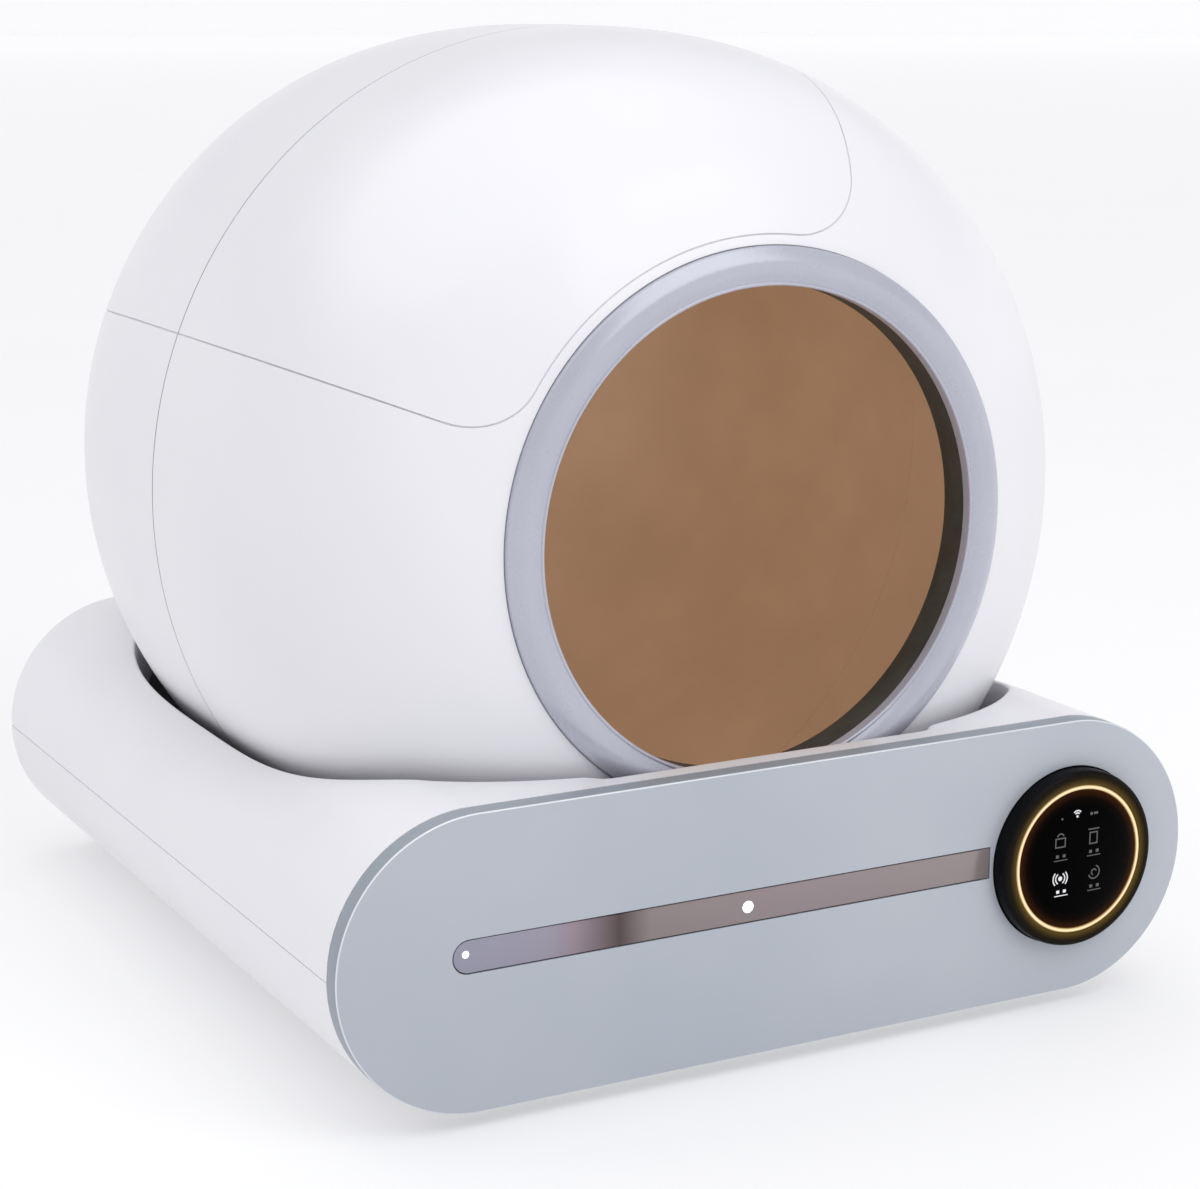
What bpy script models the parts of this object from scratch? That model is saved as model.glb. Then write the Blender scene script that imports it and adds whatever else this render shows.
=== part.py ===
# Self cleaning litter box: a turning drum in a low pill-shaped base.
# Metres, +Z up, +Y to the rear. The origin is at the middle of the footprint, on the floor.
import math

import bmesh
import bpy

# Base casing
BASE_WIDTH = 0.500
BASE_HEIGHT = 0.151
BASE_DEPTH = 0.530
FOOT_DROP = 0.008
SHELL_WALL = 0.003
FIT_GAP = 0.0003
SEAM_GAP = 0.0004
CUT_OVERRUN = 0.020
ARC_STEPS = 10

# Front panel, which is the drawer's front
PANEL_THICKNESS = 0.010
PANEL_GAP = 0.001
PANEL_BEVEL = 0.0012
BULKHEAD_THICKNESS = 0.003
BULKHEAD_GAP = 0.0005
BULKHEAD_CABLE_RADIUS = 0.015

# Light window in the panel
WINDOW_OUTSET = 0.0155
WINDOW_HEIGHT = 0.0176
WINDOW_LIFT = 0.0047
WINDOW_THICKNESS = 0.0025
WINDOW_DIAL_LAND = 0.002
LED_BOARD_THICKNESS = 0.0015
LED_BOARD_MARGIN = 0.004

# Round touch dial
DIAL_INSET = 0.0005
DIAL_LIFT = 0.0015
DIAL_RADIUS = 0.0485
DIAL_PROUD = 0.0095
DIAL_CHAMFER = 0.0015
DIAL_HOLE_CLEARANCE = 0.0008
DIAL_WEB = 0.002
DIAL_CAVITY_WALL = 0.0055
LIGHT_RING_RADIUS = 0.0396
LIGHT_RING_WIDTH = 0.0024
LIGHT_RING_DEPTH = 0.0024
TOUCH_BOARD_THICKNESS = 0.0016
TOUCH_BOARD_MARGIN = 0.003

# Drum, a body of revolution about a level axis that runs front to rear
DRUM_SIDE_MARGIN = 0.0025
DRUM_FLOOR_CLEARANCE = 0.0155
DRUM_FRONT_MARGIN = 0.0193
DRUM_REAR_MARGIN = 0.022
DRUM_WALL = 0.003
DRUM_FRONT_SHARE = 0.46184
DRUM_FRONT_FULLNESS = 3.05
DRUM_REAR_FULLNESS = 3.43
DRUM_SEAM_GAP = 0.0008
DRUM_SEGMENTS = 60
FRONT_STATIONS = 8
REAR_STATIONS = 9
STATION_CROWDING = 1.6

# Entry ring and the dark collar behind it
RING_RADIUS_SHARE = 0.58384
RING_WIDTH = 0.020
RING_CROWN = 0.0055
RING_INNER_SETBACK = 0.0025
RING_STEPS = 5
COLLAR_WALL = 0.009
COLLAR_DEPTH = 0.040
COLLAR_SHOULDER = 0.0005

# Hatch on the drum's upper left
HATCH_RIGHT_ANGLE = 70.0
HATCH_LEFT_ANGLE = 158.6
HATCH_RING_MARGIN = 0.0045
HATCH_RIGHT_CORNER_SHARE = 0.4175
HATCH_LEFT_CORNER_SHARE = 0.3398
HATCH_REAR_SHARE = 0.7224
HATCH_GAP = 0.0008
HATCH_RIB_WIDTH = 0.020
HATCH_RIB_THICKNESS = 0.003
HATCH_RIB_MARGIN = 4.6

# Litter liner, sieve basket and waste port inside the drum
LINER_GAP = 0.006
LINER_WALL = 0.0025
SEAM_RING_WIDTH = 0.016
SEAM_RING_STEP = 6.0
SIEVE_RADIUS_SHARE = 0.7515
SIEVE_FLOOR = 0.003
SIEVE_RIGHT_ANGLE = 76.0
SIEVE_LEFT_ANGLE = 154.0
SIEVE_REAR_SHARE = 0.6844
SIEVE_FRONT_SHARE = 0.4431
SIEVE_WALL = 0.004
SIEVE_SLOTS = 7
SIEVE_RIGHT_SLOTS = 5
SIEVE_ROWS = 3
SIEVE_BAR_SHARE = 0.42
SIEVE_CLEARANCE = 0.0005
PORT_LOW_ANGLE = 24.0
PORT_HIGH_ANGLE = 54.0
PORT_STEP = 6.0
PORT_REAR_SHARE = 0.5703
PORT_FRONT_SHARE = 0.1141
PORT_WALL = 0.004
PORT_LIP = 0.004
MAGNET_SETBACK_SHARE = 0.1711
MAGNET_SIZE = 0.012
MAGNET_THICKNESS = 0.0025

# Opening of the base round the drum
CRADLE_CLEARANCE = 0.0055
CRADLE_FRONT_CLEARANCE = 0.0028
CRADLE_FRONT_FULLNESS = 3.3
CRADLE_SKIRT_WALL = 0.0025
CRADLE_SKIRT_DEPTH = 0.009
NOTCH_CLEARANCE = 0.005
GEAR_POCKET_CLEARANCE = 0.004

# Drive: toothed ring on the drum, pinion, geared motor
RING_PITCH_SHARE = 0.77576
RING_TEETH = 96
PINION_TEETH = 16
GEAR_WIDTH = 0.012
GEAR_SETBACK_SHARE = 0.8821
TOOTH_BACKLASH = 0.0012
ROOT_CLEARANCE_SHARE = 1.25
PRESSURE_ANGLE = 20.0
PINION_RISE_SHARE = 0.6053
SHAFT_RADIUS = 0.004
SHAFT_DEPTH = 0.014
GEARBOX_GAP = 0.0015
GEARBOX_SHARE = 0.172
MOTOR_SHARE = 0.126
MOTOR_LENGTH = 0.065
MOTOR_OUTSET = 0.005
MOTOR_RISE_SHARE = 0.245

# Support rollers
ROLLER_PLACE_SHARE = 0.748
ROLLER_RADIUS = 0.012
ROLLER_WIDTH = 0.014
ROLLER_SPACING_SHARE = 0.2455
ROLLER_SIDE_GAP = 0.001
ROLLER_SEGMENTS = 20
AXLE_RADIUS = 0.003
LUG_THICKNESS = 0.004
LUG_MARGIN = 0.0075
BEAM_THICKNESS = 0.004
CARRIER_STEPS = 4
CARRIER_LEAD_SHARE = 0.75
CARRIER_SIDE_GAP = 0.0006
LUG_STEPS = 3

# Waste drawer beside the drum
BIN_WALL = 0.0025
BIN_LOW_SIDE = 0.010
BIN_ROLLER_CLEARANCE = 0.0146
BIN_REAR_ROOM = 0.0767
BIN_SIDE_CLEARANCE = 0.0035
BIN_DRUM_CLEARANCE = 0.013
BIN_ARC_STEPS = 6
RUNNER_HEIGHT = 0.0032
RUNNER_WIDTH = 0.008
RUNNER_MARGIN = 0.018
FRAME_BAR = 0.008
FRAME_THICKNESS = 0.0028
FRAME_STEPS = 6
BULKHEAD_BIN_CLEARANCE = 0.006

# Feet, electronics and inlet
FOOT_SIDE_INSET = 0.0245
FOOT_END_INSET = 0.065
FOOT_RADIUS = 0.015
FOOT_SENSOR_SIZE = 0.034
FOOT_SENSOR_THICKNESS = 0.0025
BOARD_WIDTH = 0.070
BOARD_LENGTH = 0.130
BOARD_THICKNESS = 0.0016
BOARD_INSET = 0.0415
BOARD_SETBACK = 0.130
BOARD_POST_HEIGHT = 0.006
BOARD_POST_SIZE = 0.006
HALL_WIDTH = 0.016
HALL_HEIGHT = 0.004
INLET_X = 0.060
INLET_RISE = 0.030
INLET_RADIUS = 0.006
INLET_BORE_RADIUS = 0.003
INLET_LENGTH = 0.018
INLET_BORE_DEPTH = 0.010
PANEL_MAGNET_RADIUS = 0.005
PANEL_MAGNET_THICKNESS = 0.003
PANEL_MAGNET_RISE = 0.022
CATCH_SIZE = 0.014
CATCH_THICKNESS = 0.0005
ROUND_SEGMENTS = 24
DIAL_SEGMENTS = 40

# Sizes and places worked out from these
DRUM_RADIUS = BASE_WIDTH / 2 - DRUM_SIDE_MARGIN
DRUM_AXIS_RISE = DRUM_RADIUS + DRUM_FLOOR_CLEARANCE
DRUM_DEPTH = BASE_DEPTH - DRUM_FRONT_MARGIN - DRUM_REAR_MARGIN
DRUM_FRONT_REACH = DRUM_DEPTH * DRUM_FRONT_SHARE
DRUM_REAR_REACH = DRUM_DEPTH - DRUM_FRONT_REACH
DRUM_SETBACK = DRUM_FRONT_REACH + DRUM_FRONT_MARGIN
RING_OUTER_RADIUS = DRUM_RADIUS * RING_RADIUS_SHARE
RING_INNER_RADIUS = RING_OUTER_RADIUS - RING_WIDTH
HATCH_REAR_REACH = DRUM_REAR_REACH * HATCH_REAR_SHARE
SIEVE_RADIUS = DRUM_RADIUS * SIEVE_RADIUS_SHARE
SIEVE_REAR = DRUM_REAR_REACH * SIEVE_REAR_SHARE
SIEVE_FRONT = DRUM_FRONT_REACH * SIEVE_FRONT_SHARE
PORT_REAR = DRUM_REAR_REACH * PORT_REAR_SHARE
PORT_FRONT = DRUM_REAR_REACH * PORT_FRONT_SHARE
MAGNET_SETBACK = DRUM_REAR_REACH * MAGNET_SETBACK_SHARE
GEAR_SETBACK = DRUM_REAR_REACH * GEAR_SETBACK_SHARE
RING_PITCH_RADIUS = DRUM_RADIUS * RING_PITCH_SHARE
GEAR_MODULE = 2 * RING_PITCH_RADIUS / RING_TEETH
PINION_PITCH_RADIUS = GEAR_MODULE * PINION_TEETH / 2
ROLLER_SPACING = DRUM_DEPTH * ROLLER_SPACING_SHARE
MOTOR_RADIUS = BASE_HEIGHT * MOTOR_SHARE
GEARBOX_HALF_WIDTH = BASE_HEIGHT * GEARBOX_SHARE
FRONT_Y = DIAL_PROUD - (BASE_DEPTH + DIAL_PROUD) / 2
REAR_Y = FRONT_Y + BASE_DEPTH
BASE_Z = FOOT_DROP
MID_Z = BASE_Z + BASE_HEIGHT / 2
TOP_Z = BASE_Z + BASE_HEIGHT
FLOOR_Z = BASE_Z + SHELL_WALL
END_RADIUS = BASE_HEIGHT / 2
END_X = BASE_WIDTH / 2 - END_RADIUS
SHELL_FRONT_Y = FRONT_Y + PANEL_THICKNESS + PANEL_GAP
BULKHEAD_FRONT_Y = SHELL_FRONT_Y + BULKHEAD_GAP
PANEL_BACK_Y = FRONT_Y + PANEL_THICKNESS
DIAL_FRONT_Y = FRONT_Y - DIAL_PROUD
DIAL_X = END_X - DIAL_INSET
DIAL_Z = MID_Z + DIAL_LIFT
WINDOW_Z = MID_Z + WINDOW_LIFT
DRUM_Y = FRONT_Y + DRUM_SETBACK
DRUM_Z = BASE_Z + DRUM_AXIS_RISE
DRUM_CENTRE = (0, DRUM_Z)
FACET = 360 / DRUM_SEGMENTS
LINER_INSET = DRUM_WALL + LINER_GAP

# Colours: linear RGB, roughness, metallic
WHITE_PLASTIC = ((0.86, 0.86, 0.89), 0.28, 0.0)
PANEL_PLASTIC = ((0.46, 0.53, 0.60), 0.34, 0.0)
RING_PLASTIC = ((0.58, 0.62, 0.71), 0.30, 0.0)
TAN_PLASTIC = ((0.36, 0.23, 0.13), 0.55, 0.0)
DARK_RUBBER = ((0.035, 0.033, 0.028), 0.70, 0.0)
DIAL_BLACK = ((0.012, 0.010, 0.010), 0.12, 0.0)
DIAL_GLASS = ((0.004, 0.004, 0.005), 0.05, 0.0)
LIGHT_GOLD = ((0.85, 0.60, 0.32), 0.30, 0.2)
SMOKED_WINDOW = ((0.34, 0.31, 0.35), 0.12, 0.1)
GREY_PLASTIC = ((0.30, 0.31, 0.33), 0.50, 0.0)
STEEL = ((0.56, 0.56, 0.58), 0.30, 1.0)
BOARD_GREEN = ((0.03, 0.20, 0.09), 0.50, 0.0)
NYLON = ((0.78, 0.76, 0.70), 0.45, 0.0)
MAGNET_METAL = ((0.50, 0.50, 0.52), 0.25, 1.0)


def material(name, look):
    colour, roughness, metallic = look
    made = bpy.data.materials.new(name)
    made.use_nodes = True
    shader = made.node_tree.nodes["Principled BSDF"]
    shader.inputs["Base Color"].default_value = (*colour, 1.0)
    shader.inputs["Roughness"].default_value = roughness
    shader.inputs["Metallic"].default_value = metallic
    return made


def piece(name, vertices, faces, look):
    """A closed mesh object with its faces turned outwards."""
    shape = bmesh.new()
    made = [shape.verts.new(v) for v in vertices]
    for face in faces:
        shape.faces.new([made[i] for i in face])
    bmesh.ops.recalc_face_normals(shape, faces=shape.faces)
    if shape.calc_volume(signed=True) < 0:
        bmesh.ops.reverse_faces(shape, faces=shape.faces)
    mesh = bpy.data.meshes.new(name)
    shape.to_mesh(mesh)
    shape.free()
    mesh.shade_smooth()
    mesh.set_sharp_from_angle(angle=math.radians(30))
    mesh.materials.append(material(name, look))
    made_object = bpy.data.objects.new(name, mesh)
    bpy.context.scene.collection.objects.link(made_object)
    return made_object


def boolean(target, tool, operation):
    tool.hide_render = True
    tool.display_type = "WIRE"
    change = target.modifiers.new(tool.name, "BOOLEAN")
    change.operation = operation
    change.solver = "EXACT"
    change.object = tool


def loft(name, sections, look):
    """Closed outlines of equal length, each at its own y, skinned and capped at both ends."""
    count = len(sections[0][1])
    vertices = [(x, y, z) for y, outline in sections for x, z in outline]
    faces = [list(range(count)), list(range(len(vertices) - count, len(vertices)))]
    for k in range(len(sections) - 1):
        low, high = k * count, (k + 1) * count
        for i in range(count):
            j = (i + 1) % count
            faces.append([low + i, low + j, high + j, high + i])
    return piece(name, vertices, faces, look)


def block(name, low, high, look):
    outline = [(low[0], low[2]), (high[0], low[2]), (high[0], high[2]), (low[0], high[2])]
    return loft(name, [(low[1], outline), (high[1], outline)], look)


def turned(name, profile, look, centre=DRUM_CENTRE, segments=DRUM_SEGMENTS):
    """A profile of (y, radius) points turned about a line along y.

    A profile that starts and ends at radius 0 is closed on the axis, any other is a closed loop."""
    on_axis = profile[0][1] == 0
    vertices, rings = [], []
    for y, radius in profile:
        if radius == 0:
            rings.append([len(vertices)] * segments)
            vertices.append((centre[0], y, centre[1]))
            continue
        rings.append(list(range(len(vertices), len(vertices) + segments)))
        for i in range(segments):
            angle = 2 * math.pi * i / segments
            vertices.append((centre[0] + radius * math.cos(angle), y, centre[1] + radius * math.sin(angle)))
    pairs = list(zip(rings, rings[1:]))
    if not on_axis:
        pairs.append((rings[-1], rings[0]))
    faces = []
    for first, second in pairs:
        for i in range(segments):
            j = (i + 1) % segments
            corners = [first[i], first[j], second[j], second[i]]
            faces.append(list(dict.fromkeys(corners)))
    return piece(name, vertices, faces, look)


def cylinder(name, centre, radius, y0, y1, look, segments=ROUND_SEGMENTS):
    return turned(name, [(y0, 0), (y0, radius), (y1, radius), (y1, 0)], look, centre, segments)


def cells(name, counts, place, solid, look):
    """The outer skin of the solid cells of a grid that place() bends into shape."""
    vertices, index, faces = [], {}, []

    def corner(i, j, k):
        if (i, j, k) not in index:
            index[i, j, k] = len(vertices)
            vertices.append(place(i, j, k))
        return index[i, j, k]

    def filled(i, j, k):
        inside = 0 <= i < counts[0] and 0 <= j < counts[1] and 0 <= k < counts[2]
        return inside and solid(i, j, k)

    sides = (
        ((-1, 0, 0), ((0, 0, 0), (0, 0, 1), (0, 1, 1), (0, 1, 0))),
        ((1, 0, 0), ((1, 0, 0), (1, 1, 0), (1, 1, 1), (1, 0, 1))),
        ((0, -1, 0), ((0, 0, 0), (1, 0, 0), (1, 0, 1), (0, 0, 1))),
        ((0, 1, 0), ((0, 1, 0), (0, 1, 1), (1, 1, 1), (1, 1, 0))),
        ((0, 0, -1), ((0, 0, 0), (0, 1, 0), (1, 1, 0), (1, 0, 0))),
        ((0, 0, 1), ((0, 0, 1), (1, 0, 1), (1, 1, 1), (0, 1, 1))),
    )
    for i in range(counts[0]):
        for j in range(counts[1]):
            for k in range(counts[2]):
                if not filled(i, j, k):
                    continue
                for step, corners in sides:
                    if not filled(i + step[0], j + step[1], k + step[2]):
                        faces.append([corner(i + a, j + b, k + c) for a, b, c in corners])
    return piece(name, vertices, faces, look)


def on_facet(angle):
    """How far a turned piece's flat facet lies inside its circle at this angle, as a ratio."""
    half = FACET / 2
    return math.cos(math.radians(half)) / math.cos(math.radians(angle % FACET - half))


def around_drum(angle, setback, radius):
    """A point at this angle from +x, this far behind the drum's widest section."""
    reach = radius * on_facet(angle)
    turn = math.radians(angle)
    return (reach * math.cos(turn), DRUM_Y + setback, DRUM_Z + reach * math.sin(turn))


def arc(centre, radius, start, end, steps):
    angles = [math.radians(start + (end - start) * i / steps) for i in range(steps + 1)]
    return [(centre[0] + radius * math.cos(a), centre[1] + radius * math.sin(a)) for a in angles]


def pill(radius, half_length, centre_x=0, centre_z=MID_Z, steps=ARC_STEPS):
    right = arc((centre_x + half_length, centre_z), radius, -90, 90, 2 * steps)
    left = arc((centre_x - half_length, centre_z), radius, 90, 270, 2 * steps)
    return right + left


def half_profile(radius, reach, fullness, end_radius, steps):
    """Points (distance from the widest section, radius) of a rounded end, widest point first."""
    end_angle = math.acos((end_radius / radius) ** (fullness / 2))
    points = []
    for i in range(steps + 1):
        turn = end_angle * (i / steps) ** STATION_CROWDING
        away = reach * math.sin(turn) ** (2 / fullness)
        points.append((away, radius * max(math.cos(turn), 0) ** (2 / fullness)))
    if end_radius == 0:
        points[-1] = (reach, 0)
    return points


def front_profile(inset, end_radius):
    return half_profile(DRUM_RADIUS - inset, DRUM_FRONT_REACH - inset, DRUM_FRONT_FULLNESS,
                        end_radius, FRONT_STATIONS)


def rear_profile(inset):
    return half_profile(DRUM_RADIUS - inset, DRUM_REAR_REACH - inset, DRUM_REAR_FULLNESS,
                        0, REAR_STATIONS)


def front_end_radius(inset):
    """Radius at which an inset skin stops, in step with the outer skin's stop at the entry ring."""
    return RING_OUTER_RADIUS * (DRUM_RADIUS - inset) / DRUM_RADIUS


def drum_radius(setback, inset=0):
    """Radius of the drum's faceted skin, or of a skin inside it, this far behind its widest section."""
    points = rear_profile(inset) if setback >= 0 else front_profile(inset, front_end_radius(inset))
    away = abs(setback)
    for (a0, r0), (a1, r1) in zip(points, points[1:]):
        if away <= a1:
            return r0 + (r1 - r0) * (away - a0) / (a1 - a0)
    return points[-1][1]


# Base casing

def half_base(name, upper, look):
    split = MID_Z + SEAM_GAP / 2 if upper else MID_Z - SEAM_GAP / 2
    lift = math.degrees(math.asin(SEAM_GAP / 2 / END_RADIUS))
    if upper:
        outline = arc((END_X, MID_Z), END_RADIUS, lift, 90, ARC_STEPS)
        outline += arc((-END_X, MID_Z), END_RADIUS, 90, 180 - lift, ARC_STEPS)
    else:
        outline = arc((-END_X, MID_Z), END_RADIUS, 180 + lift, 270, ARC_STEPS)
        outline += arc((END_X, MID_Z), END_RADIUS, 270, 360 - lift, ARC_STEPS)
    outline = [(x, max(z, split) if upper else min(z, split)) for x, z in outline]
    shell = loft(name, [(SHELL_FRONT_Y, outline), (REAR_Y, outline)], look)
    hollow = pill(END_RADIUS - SHELL_WALL, END_X)
    ends = [(SHELL_FRONT_Y - CUT_OVERRUN, hollow), (REAR_Y - SHELL_WALL, hollow)]
    inner = loft(name + "_hollow", ends, look)
    boolean(shell, inner, "DIFFERENCE")
    return shell


def cradle_profile(offset):
    """The base's opening round the drum: ring notch, rounded front, rounded rear with the gear's pocket."""
    notch_radius = RING_OUTER_RADIUS + NOTCH_CLEARANCE + offset
    notch_front = ring_front_reach() + NOTCH_CLEARANCE + offset
    front = half_profile(DRUM_RADIUS + CRADLE_CLEARANCE + offset,
                         DRUM_FRONT_REACH + CRADLE_FRONT_CLEARANCE + offset,
                         CRADLE_FRONT_FULLNESS, notch_radius, FRONT_STATIONS)
    clear = CRADLE_CLEARANCE + offset
    rear = half_profile(DRUM_RADIUS + clear, DRUM_REAR_REACH + clear, DRUM_REAR_FULLNESS, 0, REAR_STATIONS)
    pocket_radius = RING_PITCH_RADIUS + GEAR_MODULE + GEAR_POCKET_CLEARANCE + offset
    pocket_start = GEAR_SETBACK - GEAR_POCKET_CLEARANCE - offset
    pocket_end = GEAR_SETBACK + GEAR_WIDTH + GEAR_POCKET_CLEARANCE + offset
    points = [(DRUM_Y - notch_front, 0), (DRUM_Y - notch_front, notch_radius)]
    points += [(DRUM_Y - away, radius) for away, radius in reversed(front)]
    before = [p for p in rear[1:] if p[0] < pocket_start]
    after = [p for p in rear[1:] if p[0] > pocket_end]
    points += [(DRUM_Y + away, radius) for away, radius in before]
    points += [(DRUM_Y + pocket_start, pocket_radius), (DRUM_Y + pocket_end, pocket_radius)]
    points += [(DRUM_Y + away, radius) for away, radius in after]
    return points


def base_upper_shell():
    shell = half_base("base_upper_shell", True, WHITE_PLASTIC)
    plug = turned("cradle_skirt_plug", cradle_profile(CRADLE_SKIRT_WALL), WHITE_PLASTIC)
    lid = pill(END_RADIUS - SHELL_WALL / 2, END_X)
    skirt_bottom = TOP_Z - CRADLE_SKIRT_DEPTH
    lid = [(x, max(z, skirt_bottom)) for x, z in lid if z > skirt_bottom - SHELL_WALL]
    slab = loft("cradle_skirt_slab", [(SHELL_FRONT_Y + SHELL_WALL, lid), (REAR_Y - SHELL_WALL / 2, lid)],
                WHITE_PLASTIC)
    boolean(plug, slab, "INTERSECT")
    boolean(shell, plug, "UNION")
    boolean(shell, turned("cradle_cutter", cradle_profile(0), WHITE_PLASTIC), "DIFFERENCE")
    return shell


def base_lower_shell():
    shell = half_base("base_lower_shell", False, WHITE_PLASTIC)
    top = FLOOR_Z + BOARD_POST_HEIGHT
    bottom = BASE_Z + SHELL_WALL / 2
    inset = BOARD_POST_SIZE
    board_y = FRONT_Y + BOARD_SETBACK
    for side in (-1, 1):
        for end in (-1, 1):
            x = board_x() + side * (BOARD_WIDTH / 2 - inset)
            y = board_y + end * (BOARD_LENGTH / 2 - inset)
            half = BOARD_POST_SIZE / 2
            low, high = (x - half, y - half, bottom), (x + half, y + half, top)
            post = block(f"board_post_{side}_{end}", low, high, WHITE_PLASTIC)
            boolean(shell, post, "UNION")
    hole = cylinder("inlet_hole", (INLET_X, BASE_Z + INLET_RISE), INLET_RADIUS + FIT_GAP,
                    REAR_Y - CUT_OVERRUN, REAR_Y + CUT_OVERRUN, WHITE_PLASTIC)
    boolean(shell, hole, "DIFFERENCE")
    return shell


def board_x():
    return END_X - BOARD_INSET


def front_bulkhead():
    radius = END_RADIUS - SHELL_WALL - FIT_GAP
    left = BULKHEAD_BIN_CLEARANCE - bin_inner_x()
    outline = arc((END_X, MID_Z), radius, -90, 90, 2 * ARC_STEPS)
    outline += [(left, MID_Z + radius), (left, MID_Z - radius)]
    back = BULKHEAD_FRONT_Y + BULKHEAD_THICKNESS
    wall = loft("front_bulkhead", [(BULKHEAD_FRONT_Y, outline), (back, outline)], GREY_PLASTIC)
    hole = cylinder("bulkhead_cable_hole", (DIAL_X, DIAL_Z), BULKHEAD_CABLE_RADIUS,
                    BULKHEAD_FRONT_Y - CUT_OVERRUN, BULKHEAD_FRONT_Y + CUT_OVERRUN, GREY_PLASTIC)
    boolean(wall, hole, "DIFFERENCE")


# Touch dial

def touch_dial():
    centre = (DIAL_X, DIAL_Z)
    front = DIAL_FRONT_Y
    back = BULKHEAD_FRONT_Y - FIT_GAP
    recess_radius = LIGHT_RING_RADIUS + LIGHT_RING_WIDTH / 2 + FIT_GAP
    recess_floor = front + LIGHT_RING_DEPTH + 2 * FIT_GAP
    cavity_radius = DIAL_RADIUS - DIAL_CAVITY_WALL
    web_back = recess_floor + DIAL_WEB
    profile = [
        (recess_floor, 0), (recess_floor, recess_radius), (front, recess_radius),
        (front, DIAL_RADIUS - DIAL_CHAMFER), (front + DIAL_CHAMFER, DIAL_RADIUS), (back, DIAL_RADIUS),
        (back, cavity_radius), (web_back, cavity_radius), (web_back, 0),
    ]
    turned("dial_housing", profile, DIAL_BLACK, centre, DIAL_SEGMENTS)
    inner = LIGHT_RING_RADIUS - LIGHT_RING_WIDTH / 2
    outer = LIGHT_RING_RADIUS + LIGHT_RING_WIDTH / 2
    ring_back = recess_floor - FIT_GAP
    ring_front = ring_back - LIGHT_RING_DEPTH
    profile = [(ring_front, inner), (ring_front, outer), (ring_back, outer), (ring_back, inner)]
    turned("dial_light_ring", profile, LIGHT_GOLD, centre, DIAL_SEGMENTS)
    cylinder("dial_glass", centre, inner - FIT_GAP, ring_front, ring_back, DIAL_GLASS, DIAL_SEGMENTS)
    board_front = web_back + FIT_GAP
    cylinder("touch_board", centre, cavity_radius - TOUCH_BOARD_MARGIN, board_front,
             board_front + TOUCH_BOARD_THICKNESS, BOARD_GREEN)


# Drum

def ring_seat_reach():
    return front_profile(0, RING_OUTER_RADIUS)[-1][0]


def ring_back_reach():
    return ring_seat_reach() + FIT_GAP


def ring_front_reach():
    return ring_back_reach() + RING_INNER_SETBACK / 2 + RING_CROWN


def hatch_corner(line_angle, side, corner, inner, gap):
    """One straight side of the hatch from its outer end, and the round corner that leads on to the ring."""
    fillet = corner - gap
    turn = math.radians(line_angle)
    ends = []
    for along, across in (
        (math.sqrt((DRUM_RADIUS + CUT_OVERRUN) ** 2 - gap ** 2), side * gap),
        (math.sqrt((inner + fillet) ** 2 - (fillet + gap) ** 2), side * (fillet + gap)),
    ):
        x = along * math.cos(turn) - across * math.sin(turn)
        z = along * math.sin(turn) + across * math.cos(turn)
        ends.append((x, z))
    middle_angle = math.degrees(math.atan2(ends[1][1], ends[1][0]))
    start = line_angle - side * 90
    rounding = arc(ends[1], fillet, start, middle_angle - side * 180, ARC_STEPS // 2)
    return [ends[0]] + rounding, middle_angle


def hatch_cutter(name, gap):
    """Front outline of the hatch run through the drum: a sector outside the ring with two round corners."""
    inner = RING_OUTER_RADIUS + HATCH_RING_MARGIN + gap
    band = DRUM_RADIUS - RING_OUTER_RADIUS
    right, ring_start = hatch_corner(HATCH_RIGHT_ANGLE, 1, band * HATCH_RIGHT_CORNER_SHARE, inner, gap)
    left, ring_end = hatch_corner(HATCH_LEFT_ANGLE, -1, band * HATCH_LEFT_CORNER_SHARE, inner, gap)
    outline = right + arc((0, 0), inner, ring_start, ring_end, ARC_STEPS)[1:-1] + left[::-1]
    outline += arc((0, 0), DRUM_RADIUS + CUT_OVERRUN, HATCH_LEFT_ANGLE, HATCH_RIGHT_ANGLE, ARC_STEPS)[1:-1]
    outline = [(x, DRUM_Z + z) for x, z in outline]
    rear = DRUM_Y + HATCH_REAR_REACH - gap
    return loft(name, [(DRUM_Y - DRUM_FRONT_REACH - CUT_OVERRUN, outline), (rear, outline)], WHITE_PLASTIC)


def front_shell_solid(name, look):
    outer = front_profile(0, RING_OUTER_RADIUS)
    inner = front_profile(DRUM_WALL, front_end_radius(DRUM_WALL))
    seat = ring_seat_reach()
    bore = RING_INNER_RADIUS + COLLAR_SHOULDER + COLLAR_WALL + FIT_GAP
    seam = DRUM_Y - DRUM_SEAM_GAP / 2
    profile = [(seam, outer[0][1])] + [(DRUM_Y - away, radius) for away, radius in outer[1:]]
    profile += [(DRUM_Y - seat, bore), (DRUM_Y - seat + DRUM_WALL, bore)]
    profile += [(DRUM_Y - away, radius) for away, radius in reversed(inner[1:])] + [(seam, inner[0][1])]
    return turned(name, profile, look)


def rear_shell_solid(name, look):
    outer = rear_profile(0)
    inner = rear_profile(DRUM_WALL)
    seam = DRUM_Y + DRUM_SEAM_GAP / 2
    profile = [(DRUM_Y + away, radius) for away, radius in reversed(inner[1:])] + [(seam, inner[0][1])]
    profile += [(seam, outer[0][1])] + [(DRUM_Y + away, radius) for away, radius in outer[1:]]
    return turned(name, profile, look)


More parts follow.
